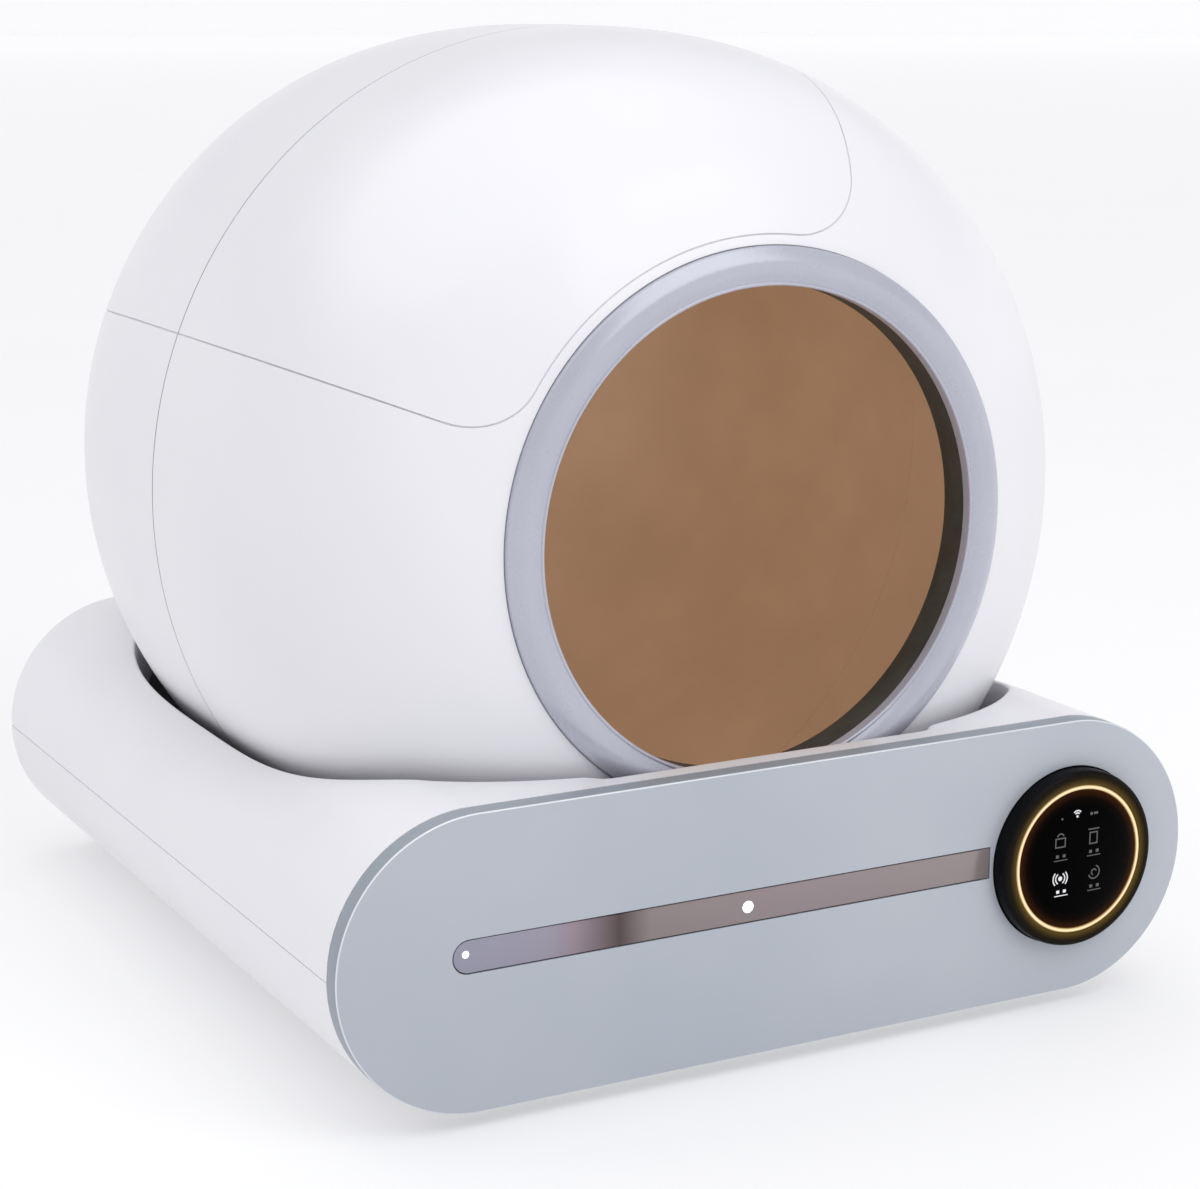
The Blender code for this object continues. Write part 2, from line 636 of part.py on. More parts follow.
def port_cutter(name):
    count = round((PORT_HIGH_ANGLE - PORT_LOW_ANGLE) / PORT_STEP)
    low = drum_radius(PORT_REAR, LINER_INSET + LINER_WALL) - CUT_OVERRUN
    high = DRUM_RADIUS + CUT_OVERRUN

    def place(i, j, k):
        angle = PORT_LOW_ANGLE + (PORT_HIGH_ANGLE - PORT_LOW_ANGLE) * i / count
        return around_drum(angle, (PORT_FRONT, PORT_REAR)[j], (low, high)[k])

    return cells(name, (count, 1, 1), place, lambda i, j, k: True, WHITE_PLASTIC)


def drum_shells():
    for part, solid in (("front", front_shell_solid), ("rear", rear_shell_solid)):
        shell = solid(f"drum_{part}_shell", WHITE_PLASTIC)
        boolean(shell, hatch_cutter(f"hatch_opening_{part}", 0), "DIFFERENCE")
        if part == "rear":
            boolean(shell, port_cutter("port_opening_shell"), "DIFFERENCE")
        hatch = solid(f"hatch_{part}_cover", WHITE_PLASTIC)
        boolean(hatch, hatch_cutter(f"hatch_outline_{part}", HATCH_GAP), "INTERSECT")


def entry_ring():
    """Ring with a softly crowned face, standing proud of the drum's flat front edge."""
    back = ring_back_reach()
    middle = (RING_OUTER_RADIUS + RING_INNER_RADIUS) / 2
    half = (RING_OUTER_RADIUS - RING_INNER_RADIUS) / 2
    profile = [(DRUM_Y - back, RING_OUTER_RADIUS)]
    for i in range(1, 2 * RING_STEPS):
        turn = math.pi * i / (2 * RING_STEPS)
        tilt = RING_INNER_SETBACK * (1 - math.cos(turn)) / 2
        reach = back + tilt + RING_CROWN * math.sin(turn)
        profile.append((DRUM_Y - reach, middle + half * math.cos(turn)))
    profile.append((DRUM_Y - back, RING_INNER_RADIUS))
    turned("entry_ring", profile, RING_PLASTIC)


def entry_collar():
    inner = RING_INNER_RADIUS + COLLAR_SHOULDER
    front = DRUM_Y - ring_seat_reach()
    profile = [(front, inner), (front, inner + COLLAR_WALL), (front + COLLAR_DEPTH, inner + COLLAR_WALL),
               (front + COLLAR_DEPTH, inner)]
    turned("entry_collar", profile, DARK_RUBBER)


def sieve_edges():
    """Angles and setbacks at which the basket's walls, bars and slots begin and end."""
    wall_angle = math.degrees(SIEVE_WALL / SIEVE_RADIUS)
    low, high = SIEVE_RIGHT_ANGLE + wall_angle, SIEVE_LEFT_ANGLE - wall_angle
    angles = [SIEVE_RIGHT_ANGLE, low] + split(low, high, SIEVE_SLOTS) + [SIEVE_LEFT_ANGLE]
    low, high = SIEVE_WALL - SIEVE_FRONT, SIEVE_REAR - SIEVE_WALL
    setbacks = [-SIEVE_FRONT, low] + split(low, high, SIEVE_ROWS) + [SIEVE_REAR]
    return angles, setbacks


def split(start, end, openings):
    """Edges of evenly spaced openings with a bar between each pair, after the start."""
    pitch = (end - start) / openings
    bar = pitch * SIEVE_BAR_SHARE / 2
    edges = []
    for i in range(openings):
        edges += [start + pitch * i + bar, start + pitch * (i + 1) - bar]
    return edges + [end]


def sieve_basket():
    """Slotted basket in two parts, which meet in the bar after the right part's slots."""
    angles, setbacks = sieve_edges()
    last = len(angles) - 2
    cut = 2 * SIEVE_RIGHT_SLOTS + 2
    seam = (angles[cut - 1] + angles[cut]) / 2
    half_gap = math.degrees(FIT_GAP / SIEVE_RADIUS) / 2
    for side, first, edges in (
        ("right", 0, angles[:cut] + [seam - half_gap]),
        ("left", cut - 1, [seam + half_gap] + angles[cut:]),
    ):
        counts = (len(edges) - 1, len(setbacks) - 1, 2)

        def place(i, j, k):
            top = drum_radius(setbacks[j], LINER_INSET)
            return around_drum(edges[i], setbacks[j], (SIEVE_RADIUS, SIEVE_RADIUS + SIEVE_FLOOR, top)[k])

        def solid(i, j, k):
            column = first + i
            wall = column in (0, last) or j in (0, counts[1] - 1)
            slot = column % 2 == 0 and j % 2 == 0
            return wall or (k == 0 and not slot)

        cells(f"sieve_basket_{side}", counts, place, solid, GREY_PLASTIC)


def sieve_window(name):
    """Cutter for the liner's window round the basket."""
    margin = math.degrees(SIEVE_CLEARANCE / SIEVE_RADIUS)
    start, end = SIEVE_RIGHT_ANGLE - margin, SIEVE_LEFT_ANGLE + margin
    count = round((end - start) / FACET)
    setbacks = (-SIEVE_FRONT - SIEVE_CLEARANCE, 0, SIEVE_REAR + SIEVE_CLEARANCE)
    radii = (SIEVE_RADIUS + SIEVE_FLOOR, DRUM_RADIUS + CUT_OVERRUN)

    def place(i, j, k):
        return around_drum(start + (end - start) * i / count, setbacks[j], radii[k])

    return cells(name, (count, 2, 1), place, lambda i, j, k: True, TAN_PLASTIC)


def litter_liner():
    """Bowl inside the shells in two halves, open at the entry, with the sieve's window and the port."""
    bore = RING_INNER_RADIUS + COLLAR_SHOULDER + COLLAR_WALL + FIT_GAP
    for part, side, outer, inner in (
        ("front", -1, front_profile(LINER_INSET, bore), front_profile(LINER_INSET + LINER_WALL, bore)),
        ("rear", 1, rear_profile(LINER_INSET), rear_profile(LINER_INSET + LINER_WALL)),
    ):
        seam = DRUM_Y + side * DRUM_SEAM_GAP / 2
        profile = [(DRUM_Y + side * away, radius) for away, radius in reversed(inner[1:])]
        profile += [(seam, inner[0][1]), (seam, outer[0][1])]
        profile += [(DRUM_Y + side * away, radius) for away, radius in outer[1:]]
        liner = turned(f"litter_liner_{part}", profile, TAN_PLASTIC)
        boolean(liner, sieve_window(f"sieve_window_{part}"), "DIFFERENCE")
        if part == "rear":
            boolean(liner, port_cutter("port_opening_liner"), "DIFFERENCE")


def seam_ring():
    """Joins the drum's two shells inside their seam, and carries the liner. It stops short of the hatch."""
    start = math.ceil((HATCH_LEFT_ANGLE + HATCH_RIB_MARGIN / 2) / SEAM_RING_STEP) * SEAM_RING_STEP
    end = 360 + math.floor((HATCH_RIGHT_ANGLE - HATCH_RIB_MARGIN / 2) / SEAM_RING_STEP) * SEAM_RING_STEP
    count = round((end - start) / SEAM_RING_STEP)
    setbacks = (-SEAM_RING_WIDTH / 2, 0, SEAM_RING_WIDTH / 2)

    def place(i, j, k):
        low = drum_radius(0, LINER_INSET) + FIT_GAP
        high = drum_radius(setbacks[j], DRUM_WALL) - FIT_GAP
        return around_drum(start + (end - start) * i / count, setbacks[j], (low, high)[k])

    cells("drum_seam_ring", (count, 2, 1), place, lambda i, j, k: True, GREY_PLASTIC)


def hatch_rib():
    start, end = HATCH_RIGHT_ANGLE + HATCH_RIB_MARGIN, HATCH_LEFT_ANGLE - HATCH_RIB_MARGIN
    count = round((end - start) / SEAM_RING_STEP)
    setbacks = (-HATCH_RIB_WIDTH / 2, 0, HATCH_RIB_WIDTH / 2)

    def place(i, j, k):
        high = drum_radius(setbacks[j], DRUM_WALL) - FIT_GAP
        radius = (high - HATCH_RIB_THICKNESS, high)[k]
        return around_drum(start + (end - start) * i / count, setbacks[j], radius)

    cells("hatch_seam_rib", (count, 2, 1), place, lambda i, j, k: True, GREY_PLASTIC)


def waste_port():
    """Four-walled chute that leads waste through the liner and the rear shell."""
    count = round((PORT_HIGH_ANGLE - PORT_LOW_ANGLE) / PORT_STEP)
    gap_angle = math.degrees(FIT_GAP / DRUM_RADIUS) * 2
    wall_angle = math.degrees(PORT_WALL / DRUM_RADIUS)
    start, end = PORT_LOW_ANGLE + gap_angle, PORT_HIGH_ANGLE - gap_angle
    inner = [start + wall_angle + (end - start - 2 * wall_angle) * i / count for i in range(count + 1)]
    angles = [start] + inner + [end]
    front, rear = PORT_FRONT + 2 * FIT_GAP, PORT_REAR - 2 * FIT_GAP
    setbacks = [front, front + PORT_WALL, (front + rear) / 2, rear - PORT_WALL, rear]

    def place(i, j, k):
        low = drum_radius(setbacks[j], LINER_INSET + LINER_WALL) - PORT_LIP
        high = drum_radius(setbacks[j], 0) - FIT_GAP
        return around_drum(angles[i], setbacks[j], (low, high)[k])

    def solid(i, j, k):
        return i in (0, len(angles) - 2) or j in (0, len(setbacks) - 2)

    cells("waste_port_chute", (len(angles) - 1, len(setbacks) - 1, 1), place, solid, GREY_PLASTIC)


def index_magnet():
    """Magnet between the shell and the liner at the drum's lowest point, which the sensor below counts."""
    low = drum_radius(MAGNET_SETBACK + MAGNET_SIZE, DRUM_WALL) - FIT_GAP
    half = MAGNET_SIZE / 2
    turn = math.radians(FACET / 2)
    top = DRUM_Z - low * math.cos(turn) + MAGNET_THICKNESS
    block("index_magnet", (-half, DRUM_Y + MAGNET_SETBACK - half, top - MAGNET_THICKNESS),
          (half, DRUM_Y + MAGNET_SETBACK + half, top), MAGNET_METAL)


# Drive

def gear_outline(centre, teeth, phase, backlash):
    """Straight-flanked teeth: root, flank and tip points of each tooth in turn."""
    pitch_radius = GEAR_MODULE * teeth / 2
    tip = pitch_radius + GEAR_MODULE
    root = pitch_radius - ROOT_CLEARANCE_SHARE * GEAR_MODULE
    half_pitch = (math.pi * GEAR_MODULE / 2 - backlash) / 2
    slope = math.tan(math.radians(PRESSURE_ANGLE))
    points = []
    for n in range(teeth):
        middle = 2 * math.pi * n / teeth + phase
        for side in (-1, 1):
            pair = []
            for radius in (root, tip):
                half = half_pitch - (radius - pitch_radius) * slope
                angle = middle + side * half / radius
                pair.append((centre[0] + radius * math.cos(angle), centre[1] + radius * math.sin(angle)))
            points += pair if side < 0 else pair[::-1]
    return points


def pinion_angle():
    """Angle below the drum's axis at which the pinion meshes, set by its height in the base."""
    drop = DRUM_AXIS_RISE - BASE_HEIGHT * PINION_RISE_SHARE
    return -math.asin(drop / (RING_PITCH_RADIUS + PINION_PITCH_RADIUS))


def pinion_centre():
    distance = RING_PITCH_RADIUS + PINION_PITCH_RADIUS
    turn = pinion_angle()
    return (distance * math.cos(turn), DRUM_Z + distance * math.sin(turn))


def motor_centre():
    return (END_X + MOTOR_OUTSET, BASE_Z + BASE_HEIGHT * MOTOR_RISE_SHARE)


def ring_gear():
    front, rear = DRUM_Y + GEAR_SETBACK, DRUM_Y + GEAR_SETBACK + GEAR_WIDTH
    outline = gear_outline(DRUM_CENTRE, RING_TEETH, pinion_angle(), TOOTH_BACKLASH)
    gear = loft("ring_gear", [(front, outline), (rear, outline)], NYLON)
    seat = [(DRUM_Y + away, radius) for away, radius in rear_profile(-FIT_GAP)]
    bore = turned("ring_gear_bore", [(DRUM_Y, 0)] + seat, NYLON)
    boolean(gear, bore, "DIFFERENCE")


def pinion_and_motor():
    centre = pinion_centre()
    front, rear = DRUM_Y + GEAR_SETBACK, DRUM_Y + GEAR_SETBACK + GEAR_WIDTH
    phase = pinion_angle() + math.pi + math.pi / PINION_TEETH
    outline = gear_outline(centre, PINION_TEETH, phase, TOOTH_BACKLASH)
    pinion = loft("drive_pinion", [(front, outline), (rear, outline)], NYLON)
    bore = cylinder("pinion_bore", centre, SHAFT_RADIUS + FIT_GAP, front - CUT_OVERRUN,
                    rear + CUT_OVERRUN, NYLON)
    boolean(pinion, bore, "DIFFERENCE")
    case_front = rear + GEARBOX_GAP
    case_rear = REAR_Y - SHELL_WALL - FIT_GAP
    cylinder("drive_shaft", centre, SHAFT_RADIUS, front, case_front + SHAFT_DEPTH - FIT_GAP, STEEL)
    motor = motor_centre()
    lean = math.degrees(math.atan2(motor[1] - centre[1], motor[0] - centre[0]))
    outline = arc(motor, GEARBOX_HALF_WIDTH, lean - 90, lean + 90, ARC_STEPS)
    outline += arc(centre, GEARBOX_HALF_WIDTH, lean + 90, lean + 270, ARC_STEPS)
    case = loft("gearbox_case", [(case_front, outline), (case_rear, outline)], GREY_PLASTIC)
    socket = cylinder("gearbox_bore", centre, SHAFT_RADIUS + FIT_GAP, case_front - CUT_OVERRUN,
                      case_front + SHAFT_DEPTH, GREY_PLASTIC)
    boolean(case, socket, "DIFFERENCE")
    motor_rear = case_front - FIT_GAP
    cylinder("motor_can", motor, MOTOR_RADIUS, motor_rear - MOTOR_LENGTH, motor_rear, STEEL)


# Rollers

def roller_place(side, end):
    """Axle centre in x and z of a roller that touches the drum inside the casing's round side.

    end is -1 at the front and 1 at the rear."""
    inner_edge = end * (ROLLER_SPACING / 2 - ROLLER_WIDTH / 2)
    distance = drum_radius(inner_edge) + FIT_GAP + ROLLER_RADIUS
    drop = DRUM_Z - MID_Z
    span = math.hypot(END_X, drop)
    inside = (END_RADIUS - SHELL_WALL) * ROLLER_PLACE_SHARE
    above = math.acos((span ** 2 + distance ** 2 - inside ** 2) / (2 * span * distance))
    turn = above - math.atan2(drop, END_X)
    return (side * distance * math.cos(turn), DRUM_Z + distance * math.sin(turn))


def rollers():
    for side, side_name in ((-1, "left"), (1, "right")):
        carrier = roller_carrier(side, side_name)
        for end, end_name in ((-1, "front"), (1, "rear")):
            centre = roller_place(side, end)
            y = DRUM_Y + end * ROLLER_SPACING / 2
            half = ROLLER_WIDTH / 2
            bore = AXLE_RADIUS + FIT_GAP
            profile = [(y - half, bore), (y - half, ROLLER_RADIUS)]
            profile += [(y + half, ROLLER_RADIUS), (y + half, bore)]
            turned(f"roller_{end_name}_{side_name}", profile, DARK_RUBBER, centre, ROLLER_SEGMENTS)
            reach = half + ROLLER_SIDE_GAP + LUG_THICKNESS
            cylinder(f"roller_axle_{end_name}_{side_name}", centre, AXLE_RADIUS, y - reach, y + reach,
                     STEEL, ROLLER_SEGMENTS)
            hole = cylinder(f"axle_hole_{end_name}_{side_name}", centre, bore, y - reach - LUG_THICKNESS,
                            y + reach + LUG_THICKNESS, STEEL, ROLLER_SEGMENTS)
            boolean(carrier, hole, "DIFFERENCE")


def roller_carrier(side, side_name):
    """Curved beam under the base's shoulder, with a lug on each side of both rollers."""
    edges = []
    for end in (-1, 1):
        y = DRUM_Y + end * ROLLER_SPACING / 2
        inner = ROLLER_WIDTH / 2 + ROLLER_SIDE_GAP
        outer = inner + LUG_THICKNESS
        edges += [y - outer, y - inner, y + inner, y + outer]
    beam_high = END_RADIUS - SHELL_WALL - CARRIER_SIDE_GAP
    beam_low = beam_high - BEAM_THICKNESS
    place_x, place_z = roller_place(side, 1)
    depth = math.hypot(abs(place_x) - END_X, place_z - MID_Z)
    layers = (depth - LUG_MARGIN, beam_low, beam_high)
    step = 90 / ARC_STEPS
    lean = math.degrees(math.atan2(abs(place_x) - END_X, place_z - MID_Z))
    start = 90 + lean - step * CARRIER_LEAD_SHARE
    steps = [start + step * n for n in range(CARRIER_STEPS + 1)]

    def place(i, j, k):
        turn = math.radians(steps[i])
        return (side * (END_X - layers[k] * math.cos(turn)), edges[j], MID_Z + layers[k] * math.sin(turn))

    def solid(i, j, k):
        return k == 1 or (j % 2 == 0 and i < LUG_STEPS)

    counts = (len(steps) - 1, len(edges) - 1, 2)
    return cells(f"roller_carrier_{side_name}", counts, place, solid, GREY_PLASTIC)


# Waste drawer

def panel_outline(inset):
    return pill(END_RADIUS - inset, END_X)


def window_outline(inset):
    """Light window: round at its left end, square beside the dial."""
    radius = WINDOW_HEIGHT / 2 - inset
    right = DIAL_X - DIAL_RADIUS - DIAL_HOLE_CLEARANCE - WINDOW_DIAL_LAND - inset
    left_x = WINDOW_HEIGHT / 2 - END_X - WINDOW_OUTSET
    left = arc((left_x, WINDOW_Z), radius, 90, 270, ARC_STEPS)
    return left + [(right, WINDOW_Z - radius), (right, WINDOW_Z + radius)]


def front_panel():
    sections = [(FRONT_Y, panel_outline(PANEL_BEVEL)), (FRONT_Y + PANEL_BEVEL, panel_outline(0)),
                (PANEL_BACK_Y, panel_outline(0))]
    panel = loft("drawer_front_panel", sections, PANEL_PLASTIC)
    hole = cylinder("dial_hole", (DIAL_X, DIAL_Z), DIAL_RADIUS + DIAL_HOLE_CLEARANCE,
                    FRONT_Y - CUT_OVERRUN, PANEL_BACK_Y + CUT_OVERRUN, PANEL_PLASTIC, DIAL_SEGMENTS)
    boolean(panel, hole, "DIFFERENCE")
    board_back = FRONT_Y + WINDOW_THICKNESS + LED_BOARD_THICKNESS + 2 * FIT_GAP
    pocket_outline = window_outline(0)
    pocket = loft("window_pocket", [(FRONT_Y - CUT_OVERRUN, pocket_outline), (board_back, pocket_outline)],
                  PANEL_PLASTIC)
    boolean(panel, pocket, "DIFFERENCE")
    outline = window_outline(FIT_GAP)
    window_front = FRONT_Y + FIT_GAP
    window_back = window_front + WINDOW_THICKNESS - FIT_GAP
    loft("light_window", [(window_front, outline), (window_back, outline)], SMOKED_WINDOW)
    outline = window_outline(LED_BOARD_MARGIN)
    loft("led_board", [(window_back + FIT_GAP, outline), (board_back - FIT_GAP, outline)], BOARD_GREEN)
    magnet_z = BASE_Z + PANEL_MAGNET_RISE
    seat_front = PANEL_BACK_Y - PANEL_MAGNET_THICKNESS - FIT_GAP
    seat = cylinder("magnet_seat", (0, magnet_z), PANEL_MAGNET_RADIUS + FIT_GAP, seat_front,
                    PANEL_BACK_Y + CUT_OVERRUN, PANEL_PLASTIC)
    boolean(panel, seat, "DIFFERENCE")
    cylinder("panel_magnet", (0, magnet_z), PANEL_MAGNET_RADIUS, PANEL_BACK_Y - PANEL_MAGNET_THICKNESS,
             PANEL_BACK_Y, MAGNET_METAL)
    half = CATCH_SIZE / 2
    block("catch_plate", (-half, BULKHEAD_FRONT_Y - FIT_GAP - CATCH_THICKNESS, magnet_z - half),
          (half, BULKHEAD_FRONT_Y - FIT_GAP, magnet_z + half), STEEL)


def bin_top_z():
    """The bin's high side stays under the rollers."""
    return roller_place(-1, -1)[1] - ROLLER_RADIUS - BIN_ROLLER_CLEARANCE


def bin_floor_z():
    return FLOOR_Z + RUNNER_HEIGHT + 2 * FIT_GAP


def bin_inner_x():
    """Distance from the middle at which the bin's low side just fits under the drum."""
    clear = DRUM_RADIUS + BIN_DRUM_CLEARANCE
    return math.sqrt(clear ** 2 - (DRUM_Z - bin_floor_z() - BIN_LOW_SIDE) ** 2)


def bin_outline(inset, top_lift):
    """Section of the bin: it follows the casing below and stays under the drum above."""
    radius = END_RADIUS - SHELL_WALL - BIN_SIDE_CLEARANCE - inset
    floor = bin_floor_z() + inset
    top = bin_top_z()
    clear = DRUM_RADIUS + BIN_DRUM_CLEARANCE
    side_x = -bin_inner_x() - inset
    end_angle = 180 - math.degrees(math.asin((top - MID_Z) / radius))
    start_angle = 270
    points = [(side_x, floor)]
    curve = arc((-END_X, MID_Z), radius, start_angle, end_angle, 2 * BIN_ARC_STEPS)
    points += [(x, max(z, floor)) for x, z in curve]
    if top_lift:
        return points + [(points[-1][0], top + top_lift), (side_x, top + top_lift)]
    drum_angle = 180 + math.degrees(math.asin((DRUM_Z - top) / clear))
    side_angle = 180 + math.degrees(math.acos(-side_x / clear))
    return points + arc(DRUM_CENTRE, clear, drum_angle, side_angle, BIN_ARC_STEPS)


def waste_bin():
    front = PANEL_BACK_Y + FIT_GAP
    rear = REAR_Y - SHELL_WALL - BIN_REAR_ROOM
    outline = bin_outline(0, 0)
    bin_body = loft("waste_bin", [(front, outline), (rear, outline)], WHITE_PLASTIC)
    hollow = bin_outline(BIN_WALL, CUT_OVERRUN)
    inner = loft("waste_bin_hollow", [(front + BIN_WALL, hollow), (rear - BIN_WALL, hollow)], WHITE_PLASTIC)
    boolean(bin_body, inner, "DIFFERENCE")
    bag_frame(front, rear)
    runner_top = FLOOR_Z + FIT_GAP + RUNNER_HEIGHT
    for name, x in (("inner", -bin_inner_x() - RUNNER_MARGIN), ("outer", -END_X + RUNNER_MARGIN)):
        half = RUNNER_WIDTH / 2
        block(f"bin_runner_{name}", (x - half, SHELL_FRONT_Y, FLOOR_Z + FIT_GAP),
              (x + half, rear, runner_top - FIT_GAP), GREY_PLASTIC)


def bag_frame(front, rear):
    """Frame that clamps the bag on the bin's sloping mouth, curved like the drum above it."""
    low = DRUM_RADIUS + BIN_DRUM_CLEARANCE - FIT_GAP
    start = 180 + math.degrees(math.asin((DRUM_Z - bin_top_z()) / low))
    end = 180 + math.degrees(math.acos(bin_inner_x() / low))
    bar = math.degrees(FRAME_BAR / low)
    span = end - start - 2 * bar
    angles = [start + bar + span * i / FRAME_STEPS for i in range(FRAME_STEPS + 1)]
    angles = [start] + angles + [end]
    ys = (front, front + FRAME_BAR, rear - FRAME_BAR, rear)

    def place(i, j, k):
        radius = (low - FRAME_THICKNESS, low)[k]
        turn = math.radians(angles[i])
        return (radius * math.cos(turn), ys[j], DRUM_Z + radius * math.sin(turn))

    def solid(i, j, k):
        return i in (0, len(angles) - 2) or j != 1

    cells("bag_frame", (len(angles) - 1, 3, 1), place, solid, GREY_PLASTIC)


# Feet, electronics and inlet

def feet():
    sensor_top = BASE_Z - FIT_GAP
    sensor_bottom = sensor_top - FOOT_SENSOR_THICKNESS
    half = FOOT_SENSOR_SIZE / 2
    profile_top = sensor_bottom - FIT_GAP
    foot_x = END_X - FOOT_SIDE_INSET
    foot_y = BASE_DEPTH / 2 - FOOT_END_INSET
    for y, end_name in ((-foot_y, "front"), (foot_y, "rear")):
        for x, side_name in ((-foot_x, "left"), (foot_x, "right")):
            block(f"weight_sensor_{end_name}_{side_name}", (x - half, y - half, sensor_bottom),
                  (x + half, y + half, sensor_top), STEEL)
            turns = [2 * math.pi * i / ROUND_SEGMENTS for i in range(ROUND_SEGMENTS)]
            ring = [(FOOT_RADIUS * math.cos(turn), FOOT_RADIUS * math.sin(turn)) for turn in turns]
            low = [(x + dx, y + dy, 0) for dx, dy in ring]
            high = [(x + dx, y + dy, profile_top) for dx, dy in ring]
            count = ROUND_SEGMENTS
            faces = [list(range(count)), list(range(count, 2 * count))]
            faces += [[i, (i + 1) % count, count + (i + 1) % count, count + i] for i in range(count)]
            piece(f"foot_pad_{end_name}_{side_name}", low + high, faces, DARK_RUBBER)


def electronics():
    board_y = FRONT_Y + BOARD_SETBACK
    bottom = FLOOR_Z + BOARD_POST_HEIGHT + FIT_GAP
    x = board_x()
    block("main_board", (x - BOARD_WIDTH / 2, board_y - BOARD_LENGTH / 2, bottom),
          (x + BOARD_WIDTH / 2, board_y + BOARD_LENGTH / 2, bottom + BOARD_THICKNESS), BOARD_GREEN)
    half = HALL_WIDTH / 2
    sensor_y = DRUM_Y + MAGNET_SETBACK
    block("hall_sensor", (-half, sensor_y - half, FLOOR_Z + FIT_GAP),
          (half, sensor_y + half, FLOOR_Z + FIT_GAP + HALL_HEIGHT), BOARD_GREEN)
    centre = (INLET_X, BASE_Z + INLET_RISE)
    back = REAR_Y - FIT_GAP
    inlet = cylinder("power_inlet", centre, INLET_RADIUS, back - INLET_LENGTH, back, DARK_RUBBER)
    socket = cylinder("inlet_socket", centre, INLET_BORE_RADIUS, back - INLET_BORE_DEPTH,
                      back + CUT_OVERRUN, DARK_RUBBER)
    boolean(inlet, socket, "DIFFERENCE")


def main():
    for old in list(bpy.data.objects):
        bpy.data.objects.remove(old, do_unlink=True)
    base_lower_shell()
    base_upper_shell()
    front_bulkhead()
    touch_dial()
    drum_shells()
    entry_ring()
    entry_collar()
    litter_liner()
    sieve_basket()
    seam_ring()
    hatch_rib()
    waste_port()
    index_magnet()
    ring_gear()
    pinion_and_motor()
    rollers()
    front_panel()
    waste_bin()
    feet()
    electronics()


main()
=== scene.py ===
# Litter box with a turning drum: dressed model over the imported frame
import math

import bmesh
import bpy
from mathutils import Matrix, Vector


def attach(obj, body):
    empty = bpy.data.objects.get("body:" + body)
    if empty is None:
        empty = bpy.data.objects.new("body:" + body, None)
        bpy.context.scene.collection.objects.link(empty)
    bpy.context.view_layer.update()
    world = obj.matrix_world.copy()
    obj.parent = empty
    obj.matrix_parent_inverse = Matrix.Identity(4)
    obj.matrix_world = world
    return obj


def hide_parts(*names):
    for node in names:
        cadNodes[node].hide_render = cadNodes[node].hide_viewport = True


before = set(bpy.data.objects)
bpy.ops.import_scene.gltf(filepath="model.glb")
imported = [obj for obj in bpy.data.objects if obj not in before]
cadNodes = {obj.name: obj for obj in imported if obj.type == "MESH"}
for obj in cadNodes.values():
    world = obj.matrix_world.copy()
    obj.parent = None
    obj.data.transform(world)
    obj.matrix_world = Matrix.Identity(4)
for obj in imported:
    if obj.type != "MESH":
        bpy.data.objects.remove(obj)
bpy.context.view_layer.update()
print("frame loaded with", len(cadNodes), "nodes")

# sizes that several pieces share, in metres
drum = {
    "y": -0.015249, "z": 0.271, "radius": 0.2475, "wall": 0.003, "seam": 0.0008,
    "frontReach": 0.225701, "frontFullness": 3.05, "rearReach": 0.262999, "rearFullness": 3.43,
    "turns": 240,
}
base = {
    "half": 0.250, "high": 0.151, "low": 0.008, "endRadius": 0.0755, "endX": 0.1745, "midZ": 0.0835,
    "panelFront": -0.26025, "front": -0.24925, "rear": 0.26975, "wall": 0.003,
}
ring = {"outer": 0.1445, "inner": 0.1245, "seat": 0.2103}
dial = {
    "x": 0.174, "z": 0.085, "front": -0.26975, "edge": 0.0485, "lightInner": 0.0384, "lightOuter": 0.0408,
}
window = {
    "left": -0.190, "right": 0.1227, "z": 0.0882, "high": 0.0176, "inset": 0.0006, "sunk": 0.0001,
    "thick": 0.0025, "edge": 0.0004, "pocket": 0.0046, "out": 0.005, "roundSteps": 24, "edgeSteps": 2,
}
weld = {"line": 1e-6, "turn": 1e-5, "edge": 3e-5}  # distances at which corners merge
fullRound = 0.9999  # share of a radius: a bevel of the whole of it would fold


# working habits: every piece starts from a primitive and is shaped in edit mode

def setMode(mode):
    bpy.ops.object.mode_set(mode=mode)


def clearSelection():
    if bpy.context.object and bpy.context.object.mode != "OBJECT":
        setMode("OBJECT")
    bpy.ops.object.select_all(action="DESELECT")


def take(piece):
    clearSelection()
    piece.select_set(True)
    bpy.context.view_layer.objects.active = piece
    return piece


def nameNew(name):
    piece = bpy.context.object
    piece.name = name
    piece.data.name = name
    return piece


def closePiece(piece):
    # place goes into the mesh, so the object stays at the origin
    take(piece)
    bpy.ops.object.transform_apply(location=True, rotation=True, scale=True)
    return piece


def selectAll():
    bpy.ops.mesh.select_all(action="SELECT")


def mergeNear(kind):
    selectAll()
    bpy.ops.mesh.remove_doubles(threshold=weld[kind])


def turnFacesOut():
    selectAll()
    bpy.ops.mesh.normals_make_consistent(inside=False)


def drawLine(name, points):
    # a plane merged to one point, then extruded from point to point
    clearSelection()
    bpy.ops.mesh.primitive_plane_add(size=0.002, location=points[0])
    piece = nameNew(name)
    setMode("EDIT")
    bpy.ops.mesh.select_mode(type="VERT")
    selectAll()
    bpy.ops.mesh.merge(type="CENTER")
    for here, there in zip(points, points[1:]):
        step = tuple(b - a for a, b in zip(here, there))
        bpy.ops.mesh.extrude_region_move(TRANSFORM_OT_translate={"value": step})
    mergeNear("line")
    return piece


